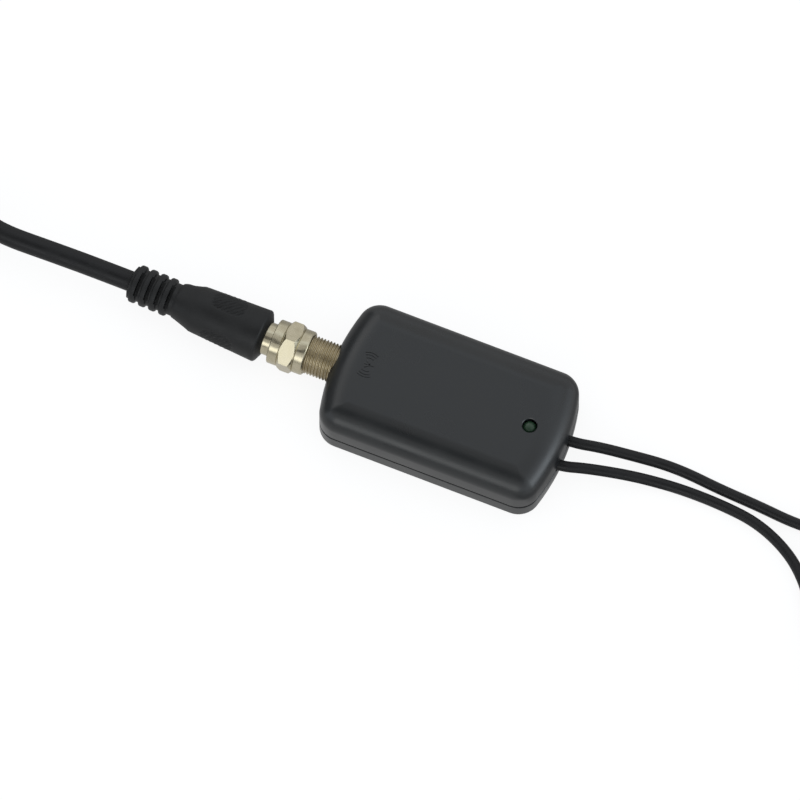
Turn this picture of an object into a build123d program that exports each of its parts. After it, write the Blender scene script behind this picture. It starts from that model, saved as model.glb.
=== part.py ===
from build123d import *
from math import acos, ceil, cos, pi, radians, sin, sqrt, tan
import os

os.makedirs("parts", exist_ok=True)

# The X axis runs along the amplifier, from the threaded jack to the leads. Z is up, and the origin is the
# middle of the flat underside. All sizes are millimetres.

# Housing
case_length = 59.0
case_width = 34.6
case_height = 14.8
end_bulge = 2.8
corner_radius = 5.5
top_round = 5.4
bottom_round = 1.1
wall = 1.8
seam_z = 5.0
seam_chamfer = 0.15
lip_height = 1.2
lip_thickness = 0.8
lip_clearance = 0.1
round_margin = 0.1
least_round = 0.5
cut_extra = 1.0

# Threaded jack, an F connector
jack_z = 7.3
jack_tip = 12.95
crest_diameter = 9.52
thread_pitch = 0.79375
thread_depth = 0.45
jack_bore = 6.6
jack_hole_clearance = 0.15
flange_inset = 4.3
flange_thickness = 1.6
flange_width = 10.6
flange_height = 9.9
leg_size = 1.0
leg_spacing = 8.6
leg_length = 4.1
insert_clearance = 0.02
insulator_recess = 0.3
contact_diameter = 2.0
contact_bore = 1.1
contact_depth = 8.0
contact_recess = 0.95
entry_diameter = 1.3
tail_diameter = 0.8
tail_length = 2.6

# Circuit board, which lies under the jack's tail, and what it carries
board_thickness = 1.2
board_end_room = 4.2
board_side_room = 1.0
board_round = 1.0
post_x = 14.0
post_y = 9.0
boss_diameter = 5.6
rest_diameter = 4.4
post_diameter = 4.4
screw_hole = 2.4
head_hole = 4.4
head_hole_depth = 1.6
screw_diameter = 2.2
screw_length = 9.3
head_diameter = 4.0
head_height = 1.3
recess_width = 0.7
recess_share = 0.6
recess_depth = 0.7
blind_extra = 0.5
led_end_distance = 8.9
led_x = case_length / 2 - led_end_distance
led_hole = 3.5
led_diameter = 3.0
led_flange = 3.8
led_flange_height = 1.0
led_body_height = 4.8
led_recess = 0.8
led_leg = 0.5
led_leg_spacing = 2.54
shield_size = (12.0, 10.0, 3.2)
shield_place = (-9.0, -1.5)
shield_wall = 0.25
chip_size = (5.0, 3.9, 1.45)
chip_lift = 0.15
chip_pin = (0.4, 1.0, 0.3)
chip_pin_pitch = 1.27
pin_sink = 0.1
regulator_size = (6.5, 3.5, 1.7)
regulator_place = (6.0, 6.5)
regulator_tab = (3.0, 1.6, 0.3)
regulator_pin = (0.7, 1.6, 0.3)
regulator_pin_pitch = 2.3
inductor_diameter = 5.0
inductor_height = 4.2
inductor_flange = 0.8
inductor_core = 3.4
inductor_place = (3.0, -6.0)
electrolytic_diameter = 5.0
electrolytic_height = 5.4
electrolytic_place = (12.5, 0.5)
electrolytic_foot = 0.6
electrolytic_neck = 4.6
electrolytic_groove = 0.4
electrolytic_slope = 0.2
electrolytic_edge = 0.3
small_part = (1.6, 0.8)
capacitor_height = 0.8
resistor_height = 0.5
joint_diameter = 1.2
joint_height = 0.6

# F plug: a coupling nut on a ferrule, with the cable's core through it
nut_length = 9.0
nut_collar = 10.9
nut_collar_rear = 2.7
nut_hex_length = 3.6
nut_flats = 11.11
nut_hex_chamfer = 0.7
nut_edge = 0.35
nut_bore_clearance = 0.05
nut_mouth = 0.3
nut_lip = 1.5
nut_lean = 8.0
lying_nut_lean = 30.0
ferrule_flange = 9.2
ferrule_flange_thickness = 0.8
ferrule_flange_gap = 0.1
ferrule_diameter = 8.0
ferrule_length = 7.1
ferrule_bore = 4.7
dielectric_clearance = 0.03
pin_diameter = 1.0
pin_reach = 8.0
pin_point = 0.3
pin_point_step = 0.25
mating_gap = 0.05

# Antenna plug's moulded boot, as (distance from its front, radius)
boot_gap = 1.9
root_gap = 0.2
boot_yaw = 1.9
boot_front_radius = 4.4
boot_rim = 1.2
boot_rim_radius = 6.45
boot_shoulder_radius = 5.65
boot_neck_radius = 4.15
boot_length = 35.4
shoulder_length = 5.3
relief_length = 11.9
relief_radius = 4.0
rib_radius = 4.575
rib_count = 4
rib_pitch = 2.63
rib_start = 2.2
rib_crest = 1.3
rib_base = 1.9
slot_width = 0.9
slot_half_span = 3.0
slot_floor = 2.8
slot_lean = 21.0
slot_shift = 0.45
tail_slope = 0.4
tail_wall = 0.5

# TV plug's boot
tv_boot_gap = 1.5
tv_boot_length = 20.0
tv_boot_radius = 5.0
tv_boot_neck = 12.0
tv_boot_neck_radius = 2.6
tv_boot_slope = 4.0
tv_boot_swell = 0.4
tv_boot_chamfer = 0.8

# USB plug
usb_body_length = 18.0
usb_body_width = 16.0
usb_body_height = 7.5
usb_body_round = 1.8
usb_body_edge = 1.0
usb_shell_length = 12.0
usb_shell_width = 12.0
usb_shell_height = 4.5
usb_shell_wall = 0.3
usb_root = 4.0
usb_window = 2.4
usb_window_spacing = 5.6
usb_window_inset = 6.2
usb_tongue_thickness = 1.9
usb_tongue_inset = 0.4
usb_contact = (7.4, 1.1, 0.15)
usb_contact_pitch = 2.25
usb_contact_inset = 1.0
usb_rest_gap = 0.3

# Cords
cable_diameter = 5.0
lead_diameter = 2.65
notch_clearance = 0.05
lead_offset = 3.4
lead_inside = 4.9
core_diameter = 0.75
core_length = 4.1
tie_inset = 1.4
tie_width = 2.0
tie_thickness = 0.9
tie_head = (2.0, 2.6, 1.6)
floor_gap = 0.005
run_share = 0.45
layer_gap = 0.45
lead_layer_gap = 0.46
climb_share = 0.5
way_step = 0.125
arcs_per_turn = 4
sample_step = 0.8

# Heights and places that follow
board_top = jack_z - tail_diameter / 2
board_bottom = board_top - board_thickness
roof_z = case_height - wall
case_end = case_length / 2
board_length = case_length - 2 * (wall + board_end_room)
board_width = case_width - 2 * (wall + board_side_room)
jack_front = -case_end - jack_tip
flange_x = -case_end + flange_inset
nut_bore = crest_diameter + 2 * nut_bore_clearance
plug_rear = jack_front - mating_gap - ferrule_flange_thickness - ferrule_flange_gap - nut_lip
boot_x = plug_rear - boot_gap
boot_neck = boot_length - relief_length
boot_shoulder = boot_neck - shoulder_length
rib_first = boot_neck + rib_start
nut_rest_z = nut_flats / 2 + floor_gap
led_top = case_height - led_recess


def along(x, y, z, heading):
    """A plane whose X axis points along a level heading in degrees, and whose Y axis points up."""
    turn = radians(heading)
    return Plane(origin=(x, y, z), x_dir=(cos(turn), sin(turn), 0), z_dir=(sin(turn), -cos(turn), 0))


def turned(plane, outline):
    """The solid of an outline, in points of (distance, radius), turned round the plane's X axis."""
    with BuildPart() as body:
        with BuildSketch(plane):
            with BuildLine():
                Polyline(*outline, close=True)
            make_face()
        revolve(axis=Axis(plane.origin, plane.x_dir))
    return body.part


def rod(plane, start, end, diameter):
    """A round rod along the plane's X axis."""
    radius = diameter / 2
    return turned(plane, [(start, 0), (start, radius), (end, radius), (end, 0)])


def case_plan(inset, height):
    """The housing's plan at a height, drawn in by an inset: straight sides, bulged ends, round corners."""
    half_width = case_width / 2
    end_radius = half_width**2 / (2 * end_bulge) + end_bulge / 2
    centre_x = case_end - end_radius
    side_y = half_width - inset
    corner_x = centre_x + sqrt((end_radius - inset) ** 2 - side_y**2)
    with BuildSketch(Plane.XY.offset(height)) as plan:
        with BuildLine():
            Line((-corner_x, side_y), (corner_x, side_y))
            ThreePointArc((corner_x, side_y), (case_end - inset, 0), (corner_x, -side_y))
            Line((corner_x, -side_y), (-corner_x, -side_y))
            ThreePointArc((-corner_x, -side_y), (inset - case_end, 0), (-corner_x, side_y))
        make_face()
        fillet(plan.vertices(), corner_radius - inset)
    return plan.sketch


def case_block(inset, low, high, low_round=0.0, high_round=0.0):
    """A block on the housing's plan, with its lower and upper edges rounded."""
    with BuildPart() as block:
        extrude(case_plan(inset, low), amount=high - low)
        if low_round:
            fillet(block.edges().group_by(Axis.Z)[0], low_round)
        if high_round:
            fillet(block.edges().group_by(Axis.Z)[-1], high_round)
    return block.part


def box_at(low, high):
    """A box between two corners."""
    size = [high[i] - low[i] for i in range(3)]
    middle = [(high[i] + low[i]) / 2 for i in range(3)]
    with BuildPart() as block:
        with Locations(Vector(*middle)):
            Box(*size)
    return block.part


def chip_at(x, y, base, size):
    """A box that stands on a level, centred on a place."""
    half_x = size[0] / 2
    half_y = size[1] / 2
    return box_at((x - half_x, y - half_y, base), (x + half_x, y + half_y, base + size[2]))


# Housing shells
jack_axis = along(0, 0, jack_z, 0)
jack_opening = rod(jack_axis, -case_end - cut_extra, flange_x, crest_diameter + 2 * jack_hole_clearance)
notch_diameter = lead_diameter + 2 * notch_clearance
notches = [
    rod(along(0, side * lead_offset, seam_z, 0), case_end - 2 * wall, case_end + cut_extra, notch_diameter)
    for side in (1, -1)
]
screw_places = [(-post_x, post_y), (post_x, -post_y)]
rest_places = [(post_x, post_y), (-post_x, -post_y)]

with BuildPart() as housing_top:
    add(case_block(0, seam_z, case_height, high_round=min(top_round, corner_radius - round_margin)))
    chamfer(housing_top.edges().group_by(Axis.Z)[0], seam_chamfer)
    inner_round = max(top_round - wall, least_round)
    add(case_block(wall, seam_z, roof_z, high_round=inner_round), mode=Mode.SUBTRACT)
    lip_room = wall - lip_thickness - lip_clearance
    add(case_block(lip_room, seam_z, seam_z + lip_height + lip_clearance), mode=Mode.SUBTRACT)
    with BuildSketch(Plane.XY.offset(board_top)):
        with Locations(*screw_places):
            Circle(post_diameter / 2)
    extrude(amount=roof_z + wall / 2 - board_top)
    with BuildSketch(Plane.XY.offset(board_top)):
        with Locations(*screw_places):
            Circle(screw_diameter / 2 + insert_clearance)
    extrude(amount=head_hole_depth + screw_length + blind_extra - board_top, mode=Mode.SUBTRACT)
    with BuildSketch(Plane.XY.offset(roof_z - cut_extra)):
        with Locations((led_x, 0)):
            Circle(led_hole / 2)
    extrude(amount=wall + 2 * cut_extra, mode=Mode.SUBTRACT)
    add(jack_opening, mode=Mode.SUBTRACT)
    for notch in notches:
        add(notch, mode=Mode.SUBTRACT)
housing_top.part.label = "housing_top"

with BuildPart() as housing_bottom:
    add(case_block(0, 0, seam_z, low_round=bottom_round))
    chamfer(housing_bottom.edges().group_by(Axis.Z)[-1], seam_chamfer)
    add(case_block(wall - lip_thickness, seam_z - cut_extra, seam_z + lip_height))
    add(case_block(wall, wall, seam_z + lip_height), mode=Mode.SUBTRACT)
    with BuildSketch(Plane.XY.offset(wall / 2)):
        with Locations(*screw_places):
            Circle(boss_diameter / 2)
        with Locations(*rest_places):
            Circle(rest_diameter / 2)
    extrude(amount=board_bottom - wall / 2)
    with BuildSketch(Plane.XY):
        with Locations(*screw_places):
            Circle(screw_hole / 2)
    extrude(amount=board_bottom, mode=Mode.SUBTRACT)
    with BuildSketch(Plane.XY):
        with Locations(*screw_places):
            Circle(head_hole / 2)
    extrude(amount=head_hole_depth, mode=Mode.SUBTRACT)
    add(jack_opening, mode=Mode.SUBTRACT)
    for notch in notches:
        add(notch, mode=Mode.SUBTRACT)
housing_bottom.part.label = "housing_bottom"

with BuildPart() as case_screws:
    with BuildSketch(Plane.XY.offset(head_hole_depth)):
        with Locations(*screw_places):
            Circle(screw_diameter / 2)
    extrude(amount=screw_length)
    with BuildSketch(Plane.XY.offset(head_hole_depth - head_height)):
        with Locations(*screw_places):
            Circle(head_diameter / 2)
    extrude(amount=head_height)
    with BuildSketch(Plane.XY.offset(head_hole_depth - head_height)):
        with Locations(*screw_places):
            Rectangle(head_diameter * recess_share, recess_width)
            Rectangle(recess_width, head_diameter * recess_share)
    extrude(amount=recess_depth, mode=Mode.SUBTRACT)
case_screws.part.label = "case_screws"

# Circuit board and its components
with BuildPart() as circuit_board:
    with BuildSketch(Plane.XY.offset(board_bottom)) as board_plan:
        Rectangle(board_length, board_width)
        fillet(board_plan.vertices(), board_round)
        with Locations(*screw_places):
            Circle(screw_hole / 2, mode=Mode.SUBTRACT)
    extrude(amount=board_thickness)
circuit_board.part.label = "circuit_board"

with BuildPart() as rf_shield:
    add(chip_at(*shield_place, board_top, shield_size))
    inner_shield = (
        shield_size[0] - 2 * shield_wall,
        shield_size[1] - 2 * shield_wall,
        shield_size[2] - shield_wall,
    )
    add(chip_at(*shield_place, board_top, inner_shield), mode=Mode.SUBTRACT)
rf_shield.part.label = "rf_shield"

with BuildPart() as amplifier_chip:
    add(chip_at(*shield_place, board_top + chip_lift, chip_size))
    for column in range(4):
        pin_x = shield_place[0] + (column - 1.5) * chip_pin_pitch
        for side in (1, -1):
            pin_y = shield_place[1] + side * (chip_size[1] + chip_pin[1]) / 2
            pin_size = (chip_pin[0], chip_pin[1] + 2 * pin_sink, chip_pin[2])
            add(chip_at(pin_x, pin_y - side * pin_sink, board_top, pin_size))
amplifier_chip.part.label = "amplifier_chip"

with BuildPart() as voltage_regulator:
    add(chip_at(*regulator_place, board_top, regulator_size))
    tab_y = regulator_place[1] + (regulator_size[1] + regulator_tab[1]) / 2 - pin_sink
    add(chip_at(regulator_place[0], tab_y, board_top, regulator_tab))
    pin_y = regulator_place[1] - (regulator_size[1] + regulator_pin[1]) / 2 + pin_sink
    for column in (-1, 0, 1):
        pin_x = regulator_place[0] + column * regulator_pin_pitch
        add(chip_at(pin_x, pin_y, board_top, regulator_pin))
voltage_regulator.part.label = "voltage_regulator"

with BuildPart() as bias_inductor:
    core_top = inductor_height - inductor_flange
    inductor_axis = Plane(origin=(*inductor_place, board_top), x_dir=(0, 0, 1), z_dir=(0, -1, 0))
    add(
        turned(
            inductor_axis,
            [
                (0, 0),
                (0, inductor_diameter / 2),
                (inductor_flange, inductor_diameter / 2),
                (inductor_flange, inductor_core / 2),
                (core_top, inductor_core / 2),
                (core_top, inductor_diameter / 2),
                (inductor_height, inductor_diameter / 2),
                (inductor_height, 0),
            ],
        )
    )
bias_inductor.part.label = "bias_inductor"

with BuildPart() as electrolytic_capacitor:
    can_axis = Plane(origin=(*electrolytic_place, board_top), x_dir=(0, 0, 1), z_dir=(0, -1, 0))
    can_radius = electrolytic_diameter / 2
    groove_low = electrolytic_foot + electrolytic_slope
    groove_high = groove_low + electrolytic_groove
    add(
        turned(
            can_axis,
            [
                (0, 0),
                (0, can_radius),
                (electrolytic_foot, can_radius),
                (groove_low, electrolytic_neck / 2),
                (groove_high, electrolytic_neck / 2),
                (groove_high + electrolytic_slope, can_radius),
                (electrolytic_height - electrolytic_edge, can_radius),
                (electrolytic_height, can_radius - electrolytic_edge),
                (electrolytic_height, 0),
            ],
        )
    )
electrolytic_capacitor.part.label = "electrolytic_capacitor"

capacitor_places = [
    (-18.5, -8.0), (-17.0, 2.5), (-6.0, 6.5), (-2.5, 9.5), (-0.5, 1.0), (8.5, -9.0), (17.5, 5.0), (19.0, 8.5),
]
resistor_places = [
    (-20.0, -11.0), (-8.0, 9.5), (-9.0, -9.5), (-4.0, -11.5), (-0.5, -2.0), (8.0, -2.5), (17.0, -4.5),
    (9.0, -12.0),
]
with BuildPart() as chip_capacitors:
    for place in capacitor_places:
        add(chip_at(*place, board_top, (*small_part, capacitor_height)))
chip_capacitors.part.label = "chip_capacitors"

with BuildPart() as chip_resistors:
    for place in resistor_places:
        add(chip_at(*place, board_top, (*small_part, resistor_height)))
chip_resistors.part.label = "chip_resistors"

# LED on two legs, with its dome recessed in the housing's round hole
led_base = led_top - led_body_height
led_leg_places = [(led_x, side * led_leg_spacing / 2) for side in (1, -1)]
with BuildPart() as led_lens:
    with BuildSketch(Plane.XY.offset(led_base)):
        with Locations((led_x, 0)):
            Circle(led_flange / 2)
    extrude(amount=led_flange_height)
    with BuildSketch(Plane.XY.offset(led_base)):
        with Locations((led_x, 0)):
            Circle(led_diameter / 2)
    extrude(amount=led_body_height - led_diameter / 2)
    with Locations((led_x, 0, led_top - led_diameter / 2)):
        Sphere(led_diameter / 2)
led_lens.part.label = "led_lens"

with BuildPart() as led_leads:
    with BuildSketch(Plane.XY.offset(board_top)):
        with Locations(*led_leg_places):
            Rectangle(led_leg, led_leg)
    extrude(amount=led_base - board_top)
led_leads.part.label = "led_leads"

# Jack: threaded barrel, flange and board legs, turned round the jack's axis
barrel_bore = jack_bore / 2
crest_radius = crest_diameter / 2
root_radius = crest_radius - thread_depth
thread_length = jack_tip - wall / 2
ring_count = int(thread_length / thread_pitch)
barrel_outline = [(flange_x, barrel_bore), (flange_x, crest_radius)]
for ring in range(ring_count, 0, -1):
    ring_x = jack_front + ring * thread_pitch
    barrel_outline += [
        (ring_x, crest_radius),
        (ring_x - thread_pitch * 0.45, root_radius),
        (ring_x - thread_pitch * 0.55, root_radius),
    ]
barrel_outline += [(jack_front, root_radius), (jack_front, barrel_bore)]
flange_back = flange_x + flange_thickness

with BuildPart() as jack_shell:
    add(turned(jack_axis, barrel_outline))
    add(
        box_at(
            (flange_x, -flange_width / 2, jack_z - flange_height / 2),
            (flange_back, flange_width / 2, jack_z + flange_height / 2),
        )
    )
    for side in (1, -1):
        leg_y = side * leg_spacing / 2
        for leg_base in (board_top, board_bottom - leg_size):
            add(
                box_at(
                    (flange_back, leg_y - leg_size / 2, leg_base),
                    (flange_back + leg_length, leg_y + leg_size / 2, leg_base + leg_size),
                )
            )
    add(rod(jack_axis, jack_front - cut_extra, flange_back + insert_clearance, jack_bore), mode=Mode.SUBTRACT)
jack_shell.part.label = "jack_shell"

insulator_front = jack_front + insulator_recess
contact_front = jack_front + contact_recess
with BuildPart() as jack_insulator:
    add(rod(jack_axis, insulator_front, flange_back, jack_bore - 2 * dielectric_clearance))
    contact_room = contact_diameter + 2 * insert_clearance
    add(rod(jack_axis, contact_front, flange_back + cut_extra, contact_room), mode=Mode.SUBTRACT)
    entry_end = contact_front + insert_clearance
    add(rod(jack_axis, insulator_front - cut_extra, entry_end, entry_diameter), mode=Mode.SUBTRACT)
jack_insulator.part.label = "jack_insulator"

with BuildPart() as jack_contact:
    add(rod(jack_axis, contact_front, flange_back, contact_diameter))
    add(rod(jack_axis, flange_back, flange_back + tail_length, tail_diameter))
    contact_end = contact_front + contact_depth
    add(rod(jack_axis, contact_front - cut_extra, contact_end, contact_bore), mode=Mode.SUBTRACT)
jack_contact.part.label = "jack_contact"


# F plug pieces. A plug's plane starts at the rear of its nut, and its X axis points to what it mates with.
def plug_nut(plane, lean):
    """A coupling nut: a hexagon between two collars, over a bore with an inner lip at the rear."""
    hex_start = nut_collar_rear
    hex_end = nut_collar_rear + nut_hex_length
    collar = nut_collar / 2
    flat = nut_flats / 2
    corner = flat / cos(pi / 6) + insert_clearance
    with BuildPart() as nut:
        hex_middle = plane.origin + plane.x_dir * hex_start
        hex_plane = Plane(origin=hex_middle, x_dir=plane.y_dir, z_dir=plane.x_dir)
        with BuildSketch(hex_plane):
            RegularPolygon(flat, 6, major_radius=False, rotation=lean)
        extrude(amount=nut_hex_length)
        cone = [
            (hex_start, 0),
            (hex_start, flat),
            (hex_start + nut_hex_chamfer, corner),
            (hex_end - nut_hex_chamfer, corner),
            (hex_end, flat),
            (hex_end, 0),
        ]
        add(turned(plane, cone), mode=Mode.INTERSECT)
        collars = [
            (0, 0),
            (0, collar - nut_edge),
            (nut_edge, collar),
            (nut_length - nut_edge, collar),
            (nut_length, collar - nut_edge),
            (nut_length, 0),
        ]
        add(turned(plane, collars))
        bore = nut_bore / 2
        opening = [
            (nut_lip, 0),
            (nut_lip, bore),
            (nut_length - nut_mouth, bore),
            (nut_length + cut_extra, bore + nut_mouth + cut_extra),
            (nut_length + cut_extra, 0),
        ]
        add(turned(plane, opening), mode=Mode.SUBTRACT)
        lip_bore = ferrule_diameter + 2 * nut_bore_clearance
        add(rod(plane, -cut_extra, nut_lip + cut_extra, lip_bore), mode=Mode.SUBTRACT)
    return nut.part


ferrule_rear = -ferrule_length
flange_start = nut_lip + ferrule_flange_gap
flange_end = flange_start + ferrule_flange_thickness


def plug_ferrule(plane):
    """The ferrule that the nut turns on: a sleeve with a flange inside the nut."""
    bore = ferrule_bore / 2
    outline = [
        (ferrule_rear, bore),
        (ferrule_rear, ferrule_diameter / 2),
        (flange_start, ferrule_diameter / 2),
        (flange_start, ferrule_flange / 2),
        (flange_end, ferrule_flange / 2),
        (flange_end, bore),
    ]
    return turned(plane, outline)


def plug_dielectric(plane):
    """The cable's white dielectric, which fills the ferrule round the pin."""
    with BuildPart() as filling:
        add(rod(plane, ferrule_rear, flange_end, ferrule_bore - 2 * dielectric_clearance))
        pin_room = pin_diameter + 2 * insert_clearance
        add(rod(plane, ferrule_rear - cut_extra, flange_end + cut_extra, pin_room), mode=Mode.SUBTRACT)
    return filling.part


def plug_pin(plane):
    """The cable's solid core, which stands out of the ferrule as the plug's pin."""
    radius = pin_diameter / 2
    tip = flange_end + pin_reach
    point = radius - pin_point_step
    outline = [(ferrule_rear, 0), (ferrule_rear, radius), (tip - pin_point, radius), (tip, point), (tip, 0)]
    return turned(plane, outline)


# Antenna plug on the jack
plug_plane = along(plug_rear, 0, jack_z, 0)
boot_plane = along(boot_x, 0, jack_z, 180 - boot_yaw)

with BuildPart() as coupling_nut:
    add(plug_nut(plug_plane, nut_lean))
coupling_nut.part.label = "coupling_nut"

with BuildPart() as antenna_plug_ferrule:
    add(plug_ferrule(plug_plane))
antenna_plug_ferrule.part.label = "antenna_plug_ferrule"

with BuildPart() as antenna_plug_dielectric:
    add(plug_dielectric(plug_plane))
antenna_plug_dielectric.part.label = "antenna_plug_dielectric"

with BuildPart() as antenna_plug_pin:
    add(plug_pin(plug_plane))
antenna_plug_pin.part.label = "antenna_plug_pin"

sleeve_in_boot = ferrule_length - boot_gap
boot_outline = [
    (0, 0),
    (0, boot_front_radius),
    (boot_rim, boot_rim_radius),
    (boot_shoulder, boot_shoulder_radius),
    (boot_neck, boot_neck_radius),
    (boot_neck, relief_radius),
]
for rib in range(rib_count):
    rib_x = rib_first + rib * rib_pitch
    boot_outline += [
        (rib_x - rib_base / 2, relief_radius),
        (rib_x - rib_crest / 2, rib_radius),
        (rib_x + rib_crest / 2, rib_radius),
        (rib_x + rib_base / 2, relief_radius),
    ]
tail_radius = cable_diameter / 2 + tail_wall
boot_outline += [(boot_length - tail_slope, relief_radius), (boot_length, tail_radius), (boot_length, 0)]

with BuildPart() as antenna_plug_boot:
    add(turned(boot_plane, boot_outline))
    slot_way = boot_plane.y_dir * cos(radians(slot_lean)) - boot_plane.z_dir * sin(radians(slot_lean))
    for slot in range(rib_count):
        slot_x = rib_first + (slot - 0.5) * rib_pitch + slot_shift
        slot_middle = boot_plane.origin + boot_plane.x_dir * slot_x
        slot_plane = Plane(origin=slot_middle, x_dir=boot_plane.x_dir, z_dir=slot_way)
        for side in (1, -1):
            with BuildSketch(slot_plane.offset(side * slot_floor)):
                Rectangle(slot_width, 2 * slot_half_span)
            extrude(amount=side * rib_radius, mode=Mode.SUBTRACT)
    sleeve_room = ferrule_diameter + 2 * insert_clearance
    sleeve_rear = ferrule_rear - insert_clearance
    add(rod(plug_plane, sleeve_rear, cut_extra - boot_gap, sleeve_room), mode=Mode.SUBTRACT)
    root_room = cable_diameter + 2 * insert_clearance
    add(rod(boot_plane, sleeve_in_boot - cut_extra, boot_length + cut_extra, root_room), mode=Mode.SUBTRACT)
antenna_plug_boot.part.label = "antenna_plug_boot"

root_start = sleeve_in_boot + root_gap
with BuildPart() as antenna_cable_root:
    add(rod(boot_plane, root_start, boot_length, cable_diameter))
antenna_cable_root.part.label = "antenna_cable_root"


# Cords: a tube along straight runs joined by arcs
def tube(name, points, diameter):
    """A tube whose corners are arcs as large as the runs beside them allow."""
    corners = []
    for index in range(1, len(points) - 1):
        before = Vector(points[index]) - Vector(points[index - 1])
        after = Vector(points[index + 1]) - Vector(points[index])
        turn = radians(before.get_angle(after))
        corners.append(run_share * min(before.length, after.length) / tan(turn / 2))
    with BuildPart() as cord:
        with BuildLine() as route:
            FilletPolyline(*points, radius=corners)
        path = route.wire()
        with BuildSketch(Plane(origin=path @ 0, z_dir=path % 0)):
            Circle(diameter / 2)
        sweep(path=path)
    expected = pi * diameter**2 / 4 * path.length
    print(name, "length", round(path.length, 1), "radii", [round(corner, 1) for corner in corners])
    print(name, "volume over section times length", round(cord.part.volume / expected, 4))
    return cord.part


def biarc(start, start_way, end, end_way):
    """Two arcs, as point triples, that leave and arrive along two unit directions."""
    ways = start_way + end_way
    chord = end - start
    slack = 4 - ways.dot(ways)
    product = chord.dot(ways)
    reach = (-product + sqrt(product**2 + slack * chord.dot(chord))) / slack
    first_corner = start + start_way * reach
    last_corner = end - end_way * reach
    joint = (first_corner + last_corner) * 0.5
    arcs = []
    for low, corner, high in ((start, first_corner, joint), (joint, last_corner, end)):
        middle = (low + high) * 0.5
        half_chord = (high - low).length / 2
        half_turn = acos(half_chord / reach)
        rise = half_chord * tan(half_turn / 2)
        arcs.append((low, middle + (corner - middle).normalized() * rise, high))
    return arcs


def coil(name, centre, outer, pitch, low, high, turns, spin, first_angle, diameter, from_top):
    """A two-layer coil that spirals in on one layer and out on the other, as one tube."""
    middle = turns / 2

    def place(turn):
        angle = radians(first_angle + spin * 360 * turn)
        radius = outer - pitch * min(turn, turns - turn)
        climb = min(max((turn - middle) / climb_share + 0.5, 0), 1)
        height = high + (low - high) * climb if from_top else low + (high - low) * climb
        return Vector(centre[0] + radius * cos(angle), centre[1] + radius * sin(angle), height)

    def way(turn):
        if turn in (0, turns):
            angle = radians(first_angle + spin * 360 * turn)
            return Vector(-sin(angle), cos(angle), 0) * spin
        return (place(turn + way_step) - place(turn - way_step)).normalized()

    steps = round(turns * arcs_per_turn)
    stops = [turns * step / steps for step in range(steps + 1)]
    start = place(0) - way(0) * diameter
    end = place(turns) + way(turns) * diameter
    with BuildPart() as winding:
        with BuildLine() as route:
            Line(start, place(0))
            for begin, finish in zip(stops, stops[1:]):
                for arc in biarc(place(begin), way(begin), place(finish), way(finish)):
                    ThreePointArc(*arc)
            Line(place(turns), end)
        path = route.wire()
        with BuildSketch(Plane(origin=path @ 0, z_dir=path % 0)):
            Circle(diameter / 2)
        sweep(path=path)
    samples = ceil(path.length / sample_step)
    points = [path @ (index / samples) for index in range(samples + 1)]
    apart = ceil(3 * diameter / sample_step)
    least = min(
        (points[i] - points[j]).length for i in range(len(points)) for j in range(i + apart, len(points))
    )
    expected = pi * diameter**2 / 4 * path.length
    print(name, "length", round(path.length, 1), "least gap to itself", round(least - diameter, 3))
    print(name, "volume over section times length", round(winding.part.volume / expected, 4))
    return winding.part, start, end


# Antenna cable: level from the boot, then coiled twice over, anticlockwise from above
tail = boot_plane.origin + boot_plane.x_dir * boot_length
cable_low = cable_diameter / 2 + floor_gap
cable_pitch = cable_diameter + layer_gap
cable_high = cable_low + cable_pitch
cable_centre = (-155.33, -15.1)
cable_outer = 29.1
cable_straight = 9.8
coil_solid, coil_start, coil_end = coil(
    "antenna_cable_coil",
    cable_centre,
    cable_outer,
    cable_pitch,
    cable_low,
    cable_high,
    turns=3,
    spin=1,
    first_angle=90,
    diameter=cable_diameter,
    from_top=True,
)
with BuildPart() as antenna_cable_coil:
    add(coil_solid)
antenna_cable_coil.part.label = "antenna_cable_coil"

first_bend = tail + boot_plane.x_dir * cable_straight
cable_route = [
    (tail.X, tail.Y, tail.Z),
    (first_bend.X, first_bend.Y, first_bend.Z),
    (-103.0, 1.15, 7.65),
    (-115.0, 0.85, cable_high),
    (-121.1, 2.35, cable_high),
    (-126.45, 5.24, cable_high),
    (-132.8, 10.11, cable_high),
    (-138.31, 12.68, cable_high),
    (-144.25, coil_start.Y, cable_high),
    (coil_start.X, coil_start.Y, coil_start.Z),
]
with BuildPart() as antenna_cable:
    add(tube("antenna_cable", cable_route, cable_diameter))
antenna_cable.part.label = "antenna_cable"

far_heading = 188.0
far_way = along(0, 0, 0, far_heading).x_dir
far_lead_in = 5.5
far_bend = coil_end - Vector(far_lead_in, 0, 0)
far_rises = [(5.4, 3.2), (11.6, 4.92), (16.1, nut_rest_z), (20.2, nut_rest_z)]
far_route = [(coil_end.X, coil_end.Y, coil_end.Z), (far_bend.X, far_bend.Y, far_bend.Z)]
for distance, height in far_rises:
    far_stop = far_bend + far_way * distance
    far_route.append((far_stop.X, far_stop.Y, height))
far_rear = Vector(*far_route[-1])
with BuildPart() as antenna_cable_end:
    add(tube("antenna_cable_end", far_route, cable_diameter))
antenna_cable_end.part.label = "antenna_cable_end"

far_nut_rear = far_rear + far_way * ferrule_length
far_plane = along(far_nut_rear.X, far_nut_rear.Y, nut_rest_z, far_heading)
with BuildPart() as far_plug_nut:
    add(plug_nut(far_plane, lying_nut_lean))
far_plug_nut.part.label = "far_plug_nut"

with BuildPart() as far_plug_ferrule:
    add(plug_ferrule(far_plane))
far_plug_ferrule.part.label = "far_plug_ferrule"

with BuildPart() as far_plug_dielectric:
    add(plug_dielectric(far_plane))
far_plug_dielectric.part.label = "far_plug_dielectric"

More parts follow.
